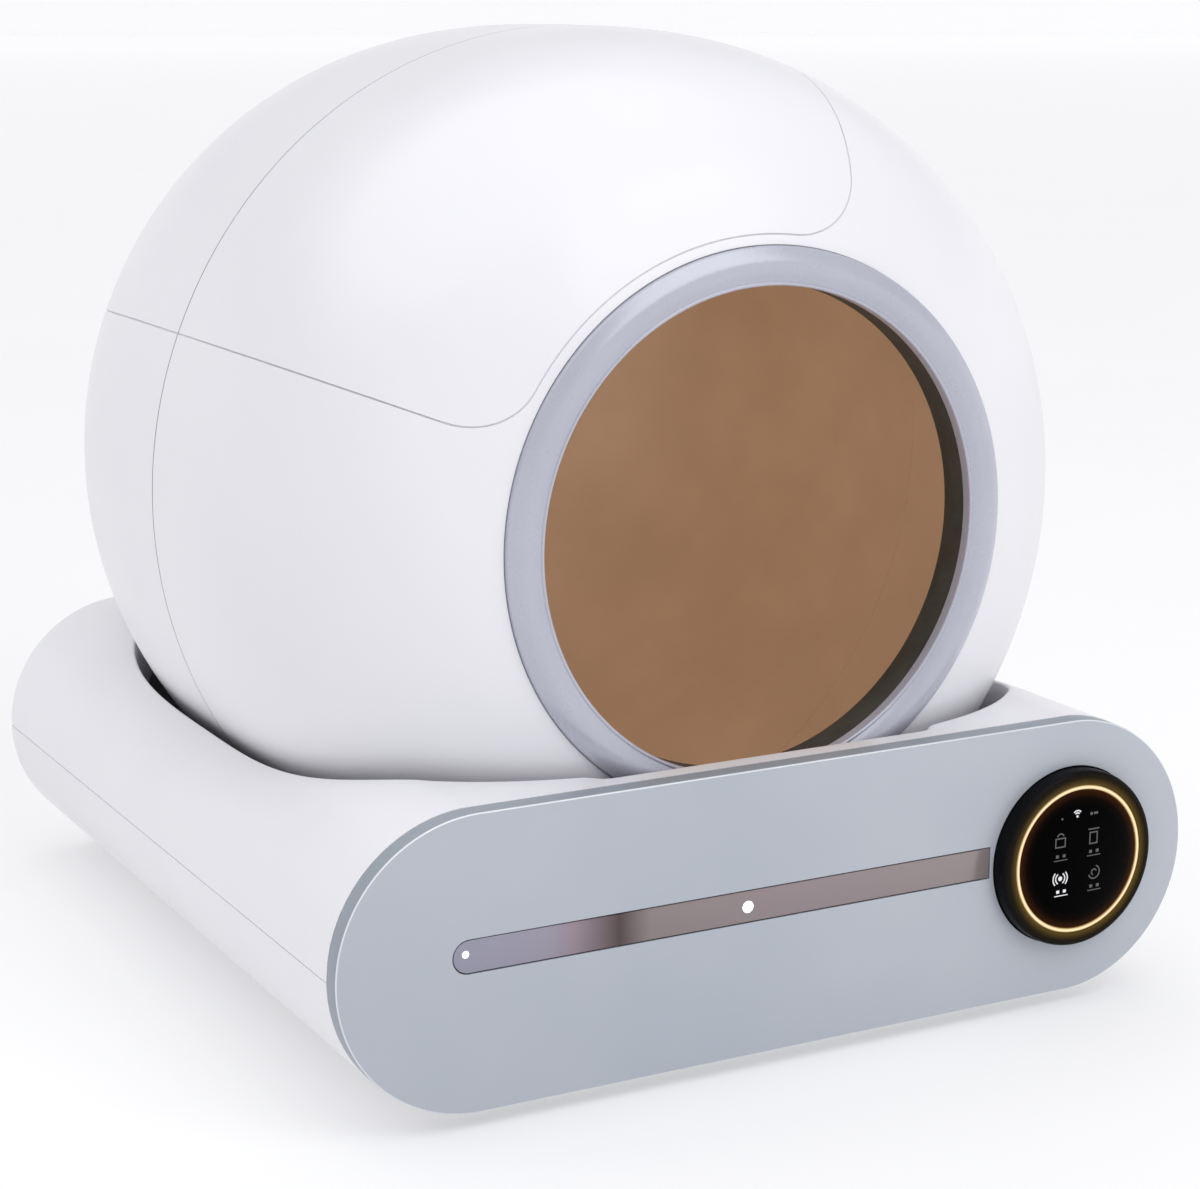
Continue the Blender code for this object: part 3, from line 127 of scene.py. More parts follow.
def turnPiece(name, profile, centre, turns):
    # profile of (y, radius): closed on the axis, or back to its start
    line = [(centre[0] + radius, y, centre[1]) for y, radius in profile]
    if profile[0][1] > 0:
        line.append(line[0])
    piece = drawLine(name, line)
    bpy.ops.mesh.spin(steps=turns, angle=math.tau, center=(centre[0], 0, centre[1]), axis=(0, 1, 0))
    mergeNear("turn")
    turnFacesOut()
    return closePiece(piece)


def slabPiece(name, outline, frontY, rearY):
    # outline of (x, z) filled and extruded to the rear
    line = [(x, frontY, z) for x, z in outline]
    piece = drawLine(name, line + line[:1])
    bpy.ops.mesh.edge_face_add()
    bpy.ops.mesh.extrude_region_move(TRANSFORM_OT_translate={"value": (0, rearY - frontY, 0)})
    turnFacesOut()
    return closePiece(piece)


def blockPiece(name, low, high):
    clearSelection()
    middle = [(a + b) / 2 for a, b in zip(low, high)]
    size = [b - a for a, b in zip(low, high)]
    bpy.ops.mesh.primitive_cube_add(size=1, location=middle, scale=size)
    return closePiece(nameNew(name))


def pick(piece, kind, test):
    take(piece)
    setMode("EDIT")
    bpy.ops.mesh.select_mode(type=kind)
    bpy.ops.mesh.select_all(action="DESELECT")
    shape = bmesh.from_edit_mesh(piece.data)
    for item in shape.edges if kind == "EDGE" else shape.faces:
        item.select_set(test(item))
    bmesh.update_edit_mesh(piece.data)


def dropFaces(piece, test):
    pick(piece, "FACE", test)
    bpy.ops.mesh.delete(type="FACE")
    setMode("OBJECT")


def roundEdges(piece, test, radius, steps):
    pick(piece, "EDGE", test)
    bpy.ops.mesh.bevel(offset=radius, segments=steps, profile=0.5, affect="EDGES")
    mergeNear("edge")
    setMode("OBJECT")
    return piece


def runsAlongY(edge):
    run = edge.verts[0].co - edge.verts[1].co
    return abs(run.y) > 0.99 * run.length


def liesAt(y):
    return lambda edge: all(abs(corner.co.y - y) < 1e-5 for corner in edge.verts)


def shapeWith(piece, kind, **settings):
    take(piece)
    change = piece.modifiers.new(kind.lower(), kind)
    for key, value in settings.items():
        setattr(change, key, value)
    bpy.ops.object.modifier_apply(modifier=change.name)
    return piece


def cutWith(piece, tool, operation="DIFFERENCE"):
    shapeWith(piece, "BOOLEAN", operation=operation, solver="EXACT", object=tool)
    bpy.data.objects.remove(tool)
    return piece


def copyPiece(piece, name):
    twin = piece.copy()
    twin.data = piece.data.copy()
    twin.name = name
    twin.data.name = name
    bpy.context.scene.collection.objects.link(twin)
    return twin


def joinPieces(pieces, name):
    take(pieces[0])
    for piece in pieces[1:]:
        piece.select_set(True)
    bpy.ops.object.join()
    return nameNew(name)


def smooth(piece, degrees=30):
    take(piece)
    bpy.ops.object.shade_smooth_by_angle(angle=math.radians(degrees))
    return piece


def arcPoints(centre, radius, start, end, steps):
    turns = [math.radians(start + (end - start) * i / steps) for i in range(steps + 1)]
    return [(centre[0] + radius * math.cos(turn), centre[1] + radius * math.sin(turn)) for turn in turns]


# materials: one recipe for moulded plastics, and small ones for the rest

def newMaterial(name):
    material = bpy.data.materials.new(name)
    material.use_nodes = True
    return material, material.node_tree, material.node_tree.nodes["Principled BSDF"]


def placeTexture(tree, stretch=(1, 1, 1), middle=(0, 0, 0)):
    place = tree.nodes.new("ShaderNodeTexCoord")
    shift = tree.nodes.new("ShaderNodeMapping")
    shift.vector_type = "POINT"
    shift.inputs["Scale"].default_value = stretch
    shift.inputs["Location"].default_value = [-m * s for m, s in zip(middle, stretch)]
    tree.links.new(place.outputs["Object"], shift.inputs["Vector"])
    return shift.outputs["Vector"]


def cloudTexture(tree, vector, scale, detail=3.0):
    cloud = tree.nodes.new("ShaderNodeTexNoise")
    cloud.inputs["Scale"].default_value = scale
    cloud.inputs["Detail"].default_value = detail
    tree.links.new(vector, cloud.inputs["Vector"])
    return cloud.outputs["Fac"]


def colourSteps(tree, factor, steps):
    ramp = tree.nodes.new("ShaderNodeValToRGB")
    marks = ramp.color_ramp.elements
    while len(marks) < len(steps):
        marks.new(0.5)
    for mark, (place, colour) in zip(marks, steps):
        mark.position = place
        mark.color = (*colour, 1)
    tree.links.new(factor, ramp.inputs["Fac"])
    return ramp.outputs["Color"]


def spread(tree, factor, low, high):
    # nearly all of a cloud's values lie between 0.3 and 0.7
    fit = tree.nodes.new("ShaderNodeMapRange")
    fit.inputs["From Min"].default_value = 0.3
    fit.inputs["From Max"].default_value = 0.7
    fit.inputs["To Min"].default_value = low
    fit.inputs["To Max"].default_value = high
    tree.links.new(factor, fit.inputs["Value"])
    return fit.outputs["Result"]


def lightUp(tree, tint, shader, strength):
    # the surface's own colour and its glow are one tint
    tree.links.new(tint, shader.inputs["Base Color"])
    tree.links.new(tint, shader.inputs["Emission Color"])
    shader.inputs["Emission Strength"].default_value = strength


def plasticFinish(name, look):
    material, tree, shader = newMaterial(name)
    vector = placeTexture(tree)
    tint = colourSteps(tree, cloudTexture(tree, vector, look["patch"]),
                       [(0.35, look["shade"]), (0.65, look["colour"])])
    tree.links.new(tint, shader.inputs["Base Color"])
    smear = cloudTexture(tree, vector, look["smear"], 5.0)
    tree.links.new(spread(tree, smear, *look["roughness"]), shader.inputs["Roughness"])
    grain = cloudTexture(tree, vector, look["grain"], 2.0)
    bump = tree.nodes.new("ShaderNodeBump")
    bump.inputs["Distance"].default_value = look["depth"]
    bump.inputs["Strength"].default_value = look.get("press", 0.4)
    tree.links.new(grain, bump.inputs["Height"])
    tree.links.new(bump.outputs["Normal"], shader.inputs["Normal"])
    shader.inputs["Coat Weight"].default_value = look.get("coat", 0.0)
    shader.inputs["Coat Roughness"].default_value = look.get("coatRoughness", 0.1)
    shader.inputs["Metallic"].default_value = look.get("metal", 0.0)
    if "lit" in look:  # daylight that comes through the thin wall
        tree.links.new(tint, shader.inputs["Emission Color"])
        shader.inputs["Emission Strength"].default_value = look["lit"]
    return material


finishes = {
    "shellWhite": {
        "colour": (0.80, 0.80, 0.83), "shade": (0.785, 0.785, 0.818), "patch": 9.0, "smear": 22.0,
        "roughness": (0.30, 0.38), "grain": 1000.0, "depth": 0.00001, "coat": 0.12,
        "coatRoughness": 0.2,
    },
    # painted shade: a darker grey for the faces inside the seam gap, where shade falls
    "seamPaintedShade": {
        "colour": (0.36, 0.36, 0.38), "shade": (0.30, 0.30, 0.32), "patch": 30.0, "smear": 60.0,
        "roughness": (0.50, 0.62), "grain": 1400.0, "depth": 0.00003,
    },
    "panelBlue": {
        "colour": (0.455, 0.485, 0.535), "shade": (0.41, 0.445, 0.50), "patch": 5.0, "smear": 30.0,
        "roughness": (0.30, 0.38), "grain": 2200.0, "depth": 0.00003, "metal": 0.05,
    },
    # painted shade: a darker copy of the panel's blue for its side band
    "panelSidePaintedShade": {
        "colour": (0.29, 0.325, 0.37), "shade": (0.26, 0.295, 0.34), "patch": 9.0, "smear": 30.0,
        "roughness": (0.34, 0.42), "grain": 2200.0, "depth": 0.00003,
    },
    # painted highlight: a lighter copy of the panel's blue for its front bevel, with a glossier coat
    "panelEdgePaintedHighlight": {
        "colour": (0.74, 0.77, 0.80), "shade": (0.68, 0.72, 0.76), "patch": 9.0, "smear": 30.0,
        "roughness": (0.16, 0.24), "grain": 2200.0, "depth": 0.00001, "coat": 0.4,
    },
    "ringBlue": {
        "colour": (0.47, 0.475, 0.555), "shade": (0.44, 0.445, 0.52), "patch": 12.0, "smear": 40.0,
        "roughness": (0.24, 0.30), "grain": 900.0, "depth": 0.00001, "metal": 0.15, "coat": 0.3,
        "coatRoughness": 0.15,
    },
    "linerTan": {
        "colour": (0.72, 0.52, 0.35), "shade": (0.66, 0.47, 0.31), "patch": 14.0, "smear": 35.0,
        "roughness": (0.42, 0.55), "grain": 900.0, "depth": 0.00008, "lit": 0.13,
    },
    "collarDark": {
        "colour": (0.060, 0.060, 0.050), "shade": (0.042, 0.042, 0.036), "patch": 45.0, "smear": 80.0,
        "roughness": (0.55, 0.75), "grain": 700.0, "depth": 0.0003, "press": 0.8,
    },
    "innerGrey": {
        "colour": (0.33, 0.34, 0.36), "shade": (0.27, 0.28, 0.30), "patch": 18.0, "smear": 45.0,
        "roughness": (0.42, 0.56), "grain": 1300.0, "depth": 0.00008,
    },
    "footRubber": {
        "colour": (0.045, 0.045, 0.048), "shade": (0.028, 0.028, 0.030), "patch": 60.0, "smear": 120.0,
        "roughness": (0.68, 0.85), "grain": 1100.0, "depth": 0.00015,
    },
    "gearNylon": {
        "colour": (0.80, 0.78, 0.71), "shade": (0.72, 0.70, 0.62), "patch": 25.0, "smear": 60.0,
        "roughness": (0.36, 0.48), "grain": 1600.0, "depth": 0.00004,
    },
    "boardGreen": {
        "colour": (0.03, 0.22, 0.10), "shade": (0.02, 0.15, 0.07), "patch": 220.0, "smear": 90.0,
        "roughness": (0.30, 0.45), "grain": 500.0, "depth": 0.00005,
    },
    "steelBright": {
        "colour": (0.62, 0.62, 0.64), "shade": (0.52, 0.52, 0.54), "patch": 80.0, "smear": 150.0,
        "roughness": (0.22, 0.36), "grain": 1500.0, "depth": 0.00002, "metal": 1.0,
    },
    "magnetNickel": {
        "colour": (0.56, 0.55, 0.53), "shade": (0.50, 0.49, 0.47), "patch": 140.0, "smear": 200.0,
        "roughness": (0.16, 0.26), "grain": 1800.0, "depth": 0.00001, "metal": 1.0,
    },
}
made = {name: plasticFinish(name, look) for name, look in finishes.items()}


windowLook = {
    "length": 0.312, "smear": 60.0, "roughness": (0.14, 0.22), "metal": 0.25,
    # painted reflection: colours along the strip, with a dark band in its left third
    "steps": [
        (0.0, (0.28, 0.28, 0.36)), (0.16, (0.30, 0.28, 0.35)), (0.21, (0.28, 0.22, 0.26)),
        (0.29, (0.07, 0.045, 0.045)), (0.345, (0.24, 0.20, 0.20)), (0.6, (0.27, 0.22, 0.23)),
        (1.0, (0.28, 0.24, 0.24)),
    ],
}


def windowFinish():
    # half-mirrored strip with a painted reflection: from mauve to warm grey along its length, with a dark
    # band
    material, tree, shader = newMaterial("windowTintReflection")
    along = tree.nodes.new("ShaderNodeSeparateXYZ")
    tree.links.new(placeTexture(tree, middle=(window["left"], 0, 0)), along.inputs["Vector"])
    fit = tree.nodes.new("ShaderNodeMapRange")
    fit.inputs["From Max"].default_value = windowLook["length"]
    tree.links.new(along.outputs["X"], fit.inputs["Value"])
    tint = colourSteps(tree, fit.outputs["Result"], windowLook["steps"])
    tree.links.new(tint, shader.inputs["Base Color"])
    smear = cloudTexture(tree, placeTexture(tree), windowLook["smear"])
    tree.links.new(spread(tree, smear, *windowLook["roughness"]), shader.inputs["Roughness"])
    shader.inputs["Metallic"].default_value = windowLook["metal"]
    return material


def tintFromDial(tree, low, high, steps):
    # colour by distance from the dial's centre line
    away = tree.nodes.new("ShaderNodeVectorMath")
    away.operation = "LENGTH"
    flat = placeTexture(tree, stretch=(1, 0, 1), middle=(dial["x"], 0, dial["z"]))
    tree.links.new(flat, away.inputs[0])
    fit = tree.nodes.new("ShaderNodeMapRange")
    fit.inputs["From Min"].default_value = low
    fit.inputs["From Max"].default_value = high
    tree.links.new(away.outputs["Value"], fit.inputs["Value"])
    return colourSteps(tree, fit.outputs["Result"], steps)


dialLooks = {
    # black rim with the light ring's glow painted on: olive brown towards the ring, and a faint glow of its
    # own
    "dialRim": {
        "reach": (0.0405, dial["edge"]), "lit": 0.25, "smear": 70.0, "detail": 3.0,
        "roughness": (0.20, 0.30), "shine": 0.04,
        "steps": [(0.0, (0.095, 0.060, 0.012)), (0.28, (0.045, 0.028, 0.006)),
                  (0.55, (0.011, 0.007, 0.003)), (1.0, (0.004, 0.004, 0.005))],
    },
    # near black, with the light ring's glow at its edge
    "dialGlassBlack": {
        "reach": (0.030, dial["lightInner"]), "lit": 0.5, "smear": 45.0, "detail": 4.0,
        "roughness": (0.10, 0.16), "shine": 0.01,
        "steps": [(0.0, (0.0008, 0.0008, 0.0010)), (0.45, (0.003, 0.0015, 0.001)),
                  (1.0, (0.024, 0.008, 0.0025))],
    },
    # pale gold in the middle of the light ring, darker at both of its edges
    "lightGold": {
        "reach": (dial["lightInner"], dial["lightOuter"]), "lit": 0.42, "even": 0.35,
        "steps": [(0.0, (0.16, 0.08, 0.02)), (0.25, (0.62, 0.45, 0.22)), (0.5, (0.84, 0.68, 0.45)),
                  (0.75, (0.62, 0.45, 0.22)), (1.0, (0.16, 0.09, 0.02))],
    },
}


def dialFinish(name, look):
    material, tree, shader = newMaterial(name)
    tint = tintFromDial(tree, *look["reach"], look["steps"])
    lightUp(tree, tint, shader, look["lit"])
    if "even" in look:
        shader.inputs["Roughness"].default_value = look["even"]
        return material
    smear = cloudTexture(tree, placeTexture(tree), look["smear"], look["detail"])
    tree.links.new(spread(tree, smear, *look["roughness"]), shader.inputs["Roughness"])
    shader.inputs["Specular IOR Level"].default_value = look["shine"]
    return material


def lampFinish(name, colour, strength, patch):
    material, tree, shader = newMaterial(name)
    vector = placeTexture(tree)
    low = [c * 0.9 for c in colour]
    tint = colourSteps(tree, cloudTexture(tree, vector, patch), [(0.3, low), (0.7, colour)])
    lightUp(tree, tint, shader, strength)
    shader.inputs["Roughness"].default_value = 0.35
    return material


made["windowTintReflection"] = windowFinish()
for name, look in dialLooks.items():
    made[name] = dialFinish(name, look)
made["lampWhite"] = lampFinish("lampWhite", (0.95, 0.97, 1.0), 1.6, 400.0)
made["markWhite"] = lampFinish("markWhite", (0.62, 0.62, 0.64), 0.40, 500.0)
made["markFaint"] = lampFinish("markFaint", (0.075, 0.07, 0.07), 0.25, 500.0)
print("materials ready:", len(made))


def paintFaces(piece, finish, test):
    # some faces take a finish of their own; here painted shade or a painted highlight
    if not piece.data.materials:
        piece.data.materials.append(None)
    piece.data.materials.append(made[finish])
    pick(piece, "FACE", test)
    piece.active_material_index = len(piece.data.materials) - 1
    bpy.ops.object.material_slot_assign()
    setMode("OBJECT")


def dress(piece, finish, body, slot, *replaced):
    if piece.data.materials:  # a piece of several finishes keeps the others
        piece.data.materials[0] = made[finish]
    else:
        piece.data.materials.append(made[finish])
    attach(piece, body)
    if replaced:
        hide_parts(*replaced)
    return piece


# drum shells and hatch

def evenPoints(line, count):
    # equal steps along a line, both ends included
    lengths = [0]
    for a, b in zip(line, line[1:]):
        lengths.append(lengths[-1] + math.dist(a, b))
    points, k = [], 0
    for i in range(count + 1):
        target = lengths[-1] * i / count
        while k < len(line) - 2 and lengths[k + 1] < target:
            k += 1
        t = (target - lengths[k]) / max(lengths[k + 1] - lengths[k], 1e-12)
        points.append(tuple(a + (b - a) * t for a, b in zip(line[k], line[k + 1])))
    return points


def roundedEnd(radius, reach, fullness, endRadius, steps):
    # distance from the widest section and radius, from there to the end
    last = math.acos(min(1, (endRadius / radius)) ** (fullness / 2))
    fine, fineSteps = [], 1200
    for i in range(fineSteps + 1):
        turn = last * i / fineSteps
        away = reach * math.sin(turn) ** (2 / fullness)
        fine.append((away, radius * max(math.cos(turn), 0) ** (2 / fullness)))
    fine[-1] = (fine[-1][0], endRadius)
    return evenPoints(fine, steps)


def drumSkin(part, inset, endRadius, steps):
    return roundedEnd(drum["radius"] - inset, drum[part + "Reach"] - inset, drum[part + "Fullness"],
                      endRadius, steps)


def layerProfile(part, inset, thick, endRadius, steps):
    # profile of a layer between two skins, open at the seam
    side = -1 if part == "front" else 1
    outer = drumSkin(part, inset, endRadius, steps)
    inner = drumSkin(part, inset + thick, endRadius, steps)
    seamY = drum["y"] + side * drum["seam"] / 2
    points = [(drum["y"] + side * away, radius) for away, radius in reversed(inner[1:])]
    points += [(seamY, inner[0][1]), (seamY, outer[0][1])]
    return points + [(drum["y"] + side * away, radius) for away, radius in outer[1:]]


shells = {
    "edge": 0.0003, "steps": 54, "innerSteps": 36, "boreRadius": 0.1402, "rebate": 0.0014,
    "cornerShare": 0.3, "clearShare": 2.5, "onSkin": 0.00005, "nearSkin": 0.0003,
}
hatch = {
    "right": 70.0, "left": 158.6, "ringMargin": 0.0045, "rightCorner": 0.4175, "leftCorner": 0.3398,
    "rear": 0.18999, "gap": 0.0008, "overrun": 0.02,
}
port = {"low": 24.0, "high": 54.0, "inner": 0.18, "outer": 0.27, "front": 0.030008, "rear": 0.149988}
drumMiddle = (0, drum["z"])


def shellProfile(part):
    side = -1 if part == "front" else 1
    endRadius = ring["outer"] if part == "front" else 0
    seamY = drum["y"] + side * drum["seam"] / 2
    outer = drumSkin(part, 0, endRadius, shells["steps"])
    innerEnd = shells["boreRadius"] if part == "front" else 0
    inner = drumSkin(part, drum["wall"], innerEnd, shells["innerSteps"])
    edge = shells["edge"]
    points = [(seamY, inner[0][1]), (seamY, outer[0][1] - edge)]
    corner, clear = edge * shells["cornerShare"], edge * shells["clearShare"]
    points += [(seamY + side * corner, outer[0][1] - corner)]
    points += [(drum["y"] + side * away, radius) for away, radius in outer if away > clear]
    if part == "front":  # rebate that the entry ring sits in
        rebateY = drum["y"] - outer[-1][0] + shells["rebate"]
        points += [(rebateY, endRadius), (rebateY, shells["boreRadius"])]
    points += [(drum["y"] + side * away, radius) for away, radius in reversed(inner[1:])]
    if part == "rear":  # the outline closes on itself across the axis
        cut = points.index((drum["y"] + outer[-1][0], 0)) + 1
        points = points[cut:] + points[:cut]
    return points


def offSkin(place, part):
    # distance from the drum's outer skin
    fullness, reach = drum[part + "Fullness"], drum[part + "Reach"]
    away = abs(place.y - drum["y"]) / reach
    radius = math.hypot(place.x, place.z - drum["z"]) / drum["radius"]
    slope = fullness * math.hypot(away ** (fullness - 1) / reach,
                                  radius ** (fullness - 1) / drum["radius"])
    return abs(away ** fullness + radius ** fullness - 1) / slope if slope else 1


def takeSkinNormals(piece, skin, part):
    # the cut skin keeps the even shading of the uncut one
    edge = (drum["seam"] + shells["edge"] * 0.1) / 2
    outside = piece.vertex_groups.new(name="outside")
    outside.add([corner.index for corner in piece.data.vertices
                 if offSkin(corner.co, part) < shells["nearSkin"] and abs(corner.co.y - drum["y"]) > edge],
                1, "REPLACE")
    smooth(piece)
    shapeWith(piece, "DATA_TRANSFER", object=skin, use_loop_data=True, vertex_group="outside",
              data_types_loops={"CUSTOM_NORMAL"}, loop_mapping="POLYINTERP_NEAREST")
    piece.vertex_groups.clear()


def hatchCorner(lineAngle, side, corner, inner, gap):
    fillet = corner - gap
    turn = math.radians(lineAngle)
    ends = []
    for along, across in (
        (math.sqrt((drum["radius"] + hatch["overrun"]) ** 2 - gap ** 2), side * gap),
        (math.sqrt((inner + fillet) ** 2 - (fillet + gap) ** 2), side * (fillet + gap)),
    ):
        ends.append((along * math.cos(turn) - across * math.sin(turn),
                     along * math.sin(turn) + across * math.cos(turn)))
    middleAngle = math.degrees(math.atan2(ends[1][1], ends[1][0]))
    rounding = arcPoints(ends[1], fillet, lineAngle - side * 90, middleAngle - side * 180, 24)
    return [ends[0]] + rounding, middleAngle


def hatchSlab(name, gap):
    inner = ring["outer"] + hatch["ringMargin"] + gap
    band = drum["radius"] - ring["outer"]
    right, start = hatchCorner(hatch["right"], 1, band * hatch["rightCorner"], inner, gap)
    left, end = hatchCorner(hatch["left"], -1, band * hatch["leftCorner"], inner, gap)
    outline = right + arcPoints((0, 0), inner, start, end, 60)[1:-1] + left[::-1]
    outline += arcPoints((0, 0), drum["radius"] + hatch["overrun"], hatch["left"], hatch["right"], 24)[1:-1]
    outline = [(x, drum["z"] + z) for x, z in outline]
    return slabPiece(name, outline, drum["y"] - drum["frontReach"] - hatch["overrun"],
                     drum["y"] + hatch["rear"] - gap)


def wedgeSlab(name, wedge):
    low, high = wedge["low"], wedge["high"]
    outline = arcPoints(drumMiddle, wedge["outer"], low, high, 24)
    outline += arcPoints(drumMiddle, wedge["inner"], high, low, 24)
    return slabPiece(name, outline, drum["y"] + wedge["front"], drum["y"] + wedge["rear"])


for part in ("front", "rear"):
    whole = turnPiece("wholeShell", shellProfile(part), drumMiddle, drum["turns"])
    shell = copyPiece(whole, "drumShell" + part.title())
    cutWith(shell, hatchSlab("hatchOpening", 0))
    if part == "rear":
        cutWith(shell, wedgeSlab("portOpening", port))
    cover = copyPiece(whole, "hatchCover" + part.title())
    cutWith(cover, hatchSlab("hatchOutline", hatch["gap"]), "INTERSECT")
    dropFaces(whole, lambda face: any(offSkin(corner.co, part) > shells["onSkin"] for corner in face.verts))
    smooth(whole)
    for piece in (shell, cover):
        takeSkinNormals(piece, whole, part)
        # the faces in the seam gap take painted shade, a darker grey
        reach = drum["seam"] / 2 + shells["edge"] * 0.5
        paintFaces(piece, "seamPaintedShade",
                   lambda face: all(abs(corner.co.y - drum["y"]) < reach for corner in face.verts))
    bpy.data.objects.remove(whole)
    dress(shell, "shellWhite", "drum", "white_shell", f"drum_{part}_shell")
    dress(cover, "shellWhite", "drum", "white_shell", f"hatch_{part}_cover")

hatchStrips = {
    "Lip": {"inset": 0.0031, "thick": 0.0012, "outline": -0.004, "inside": 0.004},
    "Seal": {"inset": 0.0006, "thick": 0.0023, "outline": 0.00005, "inside": 0.00075},
}
stripMesh = {"turns": 160, "steps": 30, "ringOverlap": 0.003}
for kind, strip in hatchStrips.items():  # lip under the hatch's gap and the seal in it, on the cover
    for part in ("front", "rear"):
        endRadius = ring["outer"] - stripMesh["ringOverlap"] if part == "front" else 0
        profile = layerProfile(part, strip["inset"], strip["thick"], endRadius, stripMesh["steps"])
        piece = turnPiece("hatch" + kind + part.title(), profile, drumMiddle, stripMesh["turns"])
        cutWith(piece, hatchSlab("stripOutline", strip["outline"]), "INTERSECT")
        cutWith(piece, hatchSlab("stripInside", strip["inside"]))
        dress(smooth(piece), "shellWhite", "drum", "white_shell")
print("drum shells and hatch done")


# entry ring, collar and liner

entryRing = {
    "gap": 0.0005, "footGap": 0.0001, "wall": 0.0020, "round": 0.0012, "crown": 0.0032, "lip": 0.0011,
    "lipRise": 0.0036, "steps": 18, "roundTo": 25, "lipFrom": 53,
}
foot = ring["seat"] - shells["rebate"] + entryRing["footGap"]
outerEdge = ring["outer"] - entryRing["gap"]
points = [(foot, outerEdge), (ring["seat"] + entryRing["wall"], outerEdge)]
corner = (ring["seat"] + entryRing["wall"], outerEdge - entryRing["round"])
points += arcPoints(corner, entryRing["round"], 90, entryRing["roundTo"], 6)[1:]
start, lipMiddle = points[-1], ring["inner"] + entryRing["lip"]
end = (ring["seat"] + entryRing["lipRise"] + entryRing["lip"] * 0.6, lipMiddle + entryRing["lip"] * 0.8)
for i in range(1, entryRing["steps"]):  # crowned face
    t = i / entryRing["steps"]
    points.append((start[0] + (end[0] - start[0]) * t + entryRing["crown"] * math.sin(math.pi * t),
                   start[1] + (end[1] - start[1]) * t))
lipCentre = (ring["seat"] + entryRing["lipRise"], lipMiddle)
points += arcPoints(lipCentre, entryRing["lip"], entryRing["lipFrom"], -90, 10)
points += [(foot, ring["inner"])]
points = [(drum["y"] - reach, radius) for reach, radius in points]
piece = smooth(turnPiece("entryRing", points, drumMiddle, drum["turns"]), 40)
dress(piece, "ringBlue", "drum", "ring_plastic", "entry_ring")

collar = {"radius": 0.1252, "wall": 0.0088, "depth": 0.021, "lip": 0.0012, "turns": 160}
front = drum["y"] - ring["seat"]
points = [(front, collar["radius"] + collar["wall"]), (front, collar["radius"] + collar["lip"])]
points += [(front + collar["lip"] + y, collar["radius"] + collar["lip"] + radius)
           for y, radius in arcPoints((0, 0), collar["lip"], 180, 270, 5)[1:]]
back = front + collar["depth"]
points += [(back - collar["lip"] * 2, collar["radius"]), (back, collar["radius"] + collar["lip"]),
           (back, collar["radius"] + collar["wall"])]
piece = smooth(turnPiece("entryCollar", points, drumMiddle, collar["turns"]), 40)
dress(piece, "collarDark", "drum", "dark_rubber", "entry_collar")

liner = {"inset": 0.009, "wall": 0.0025, "steps": 34, "bore": 0.1343, "turns": 192}
sieve = {"low": 75.84, "high": 154.16, "inner": 0.189, "outer": 0.27, "front": -0.1005, "rear": 0.1805}
for part in ("front", "rear"):
    endRadius = liner["bore"] if part == "front" else 0
    profile = layerProfile(part, liner["inset"], liner["wall"], endRadius, liner["steps"])
    piece = turnPiece("litterLiner" + part.title(), profile, drumMiddle, liner["turns"])
    cutWith(piece, wedgeSlab("sieveWindow", sieve))
    if part == "rear":
        cutWith(piece, wedgeSlab("portOpening", port))
    dress(smooth(piece), "linerTan", "drum", "liner_plastic", f"litter_liner_{part}")
print("ring, collar and liner done")


# base casing: upper half with the rounded rim of the drum's opening

casing = {
    "radius": 0.253, "frontReach": 0.228501, "frontFullness": 3.3, "rearReach": 0.268499,
    "rearFullness": 3.43, "notchRadius": 0.1495, "notchReach": 0.22235, "pocketRadius": 0.200,
    "pocketStart": 0.227991, "pocketEnd": 0.247991, "lip": 0.0022, "rearRound": 0.004, "seam": 0.0002,
    "noseSteps": 20, "sideSteps": 200, "tailSteps": 60, "around": 440, "rows": 30, "crowding": 1.8,
    "lipSteps": 8, "lipReach": 0.3, "easedRows": 3, "bottomSteps": 48, "rearSteps": 6,
}
skirt = {
    "rows": (1.0, 0.55, 0.25), "alongDrum": 0.5, "sideTurn": 1.2, "ease": 0.008,
    "steps": ((-0.093, 0.024, 0.009), (0.063, 0.009, 0.028), (0.200, 0.028, 0.015)),
}


def skirtDepth(y):
    # steps of (place, depth before, depth after): shallow over the rollers and the gear, deep elsewhere
    ease = skirt["ease"]
    for place, before, after in skirt["steps"]:
        if y < place - ease:
            return before
        if y < place + ease:
            return before + (after - before) * (y - place + ease) / (ease * 2)
    return skirt["steps"][-1][2]


def pillTop(x):
    over = abs(x) - base["endX"]
    if over <= 0:
        return base["midZ"] + base["endRadius"]
    return base["midZ"] + math.sqrt(max(base["endRadius"] ** 2 - over ** 2, 0))


def rimHalfWidth(radius):
    # found by halving: where a circle about the drum's axis meets the pill's top
    low, high = 0.0, base["half"] - 1e-6
    for _ in range(50):
        x = (low + high) / 2
        if x * x + (drum["z"] - pillTop(x)) ** 2 < radius * radius:
            low = x
        else:
            high = x
    return low


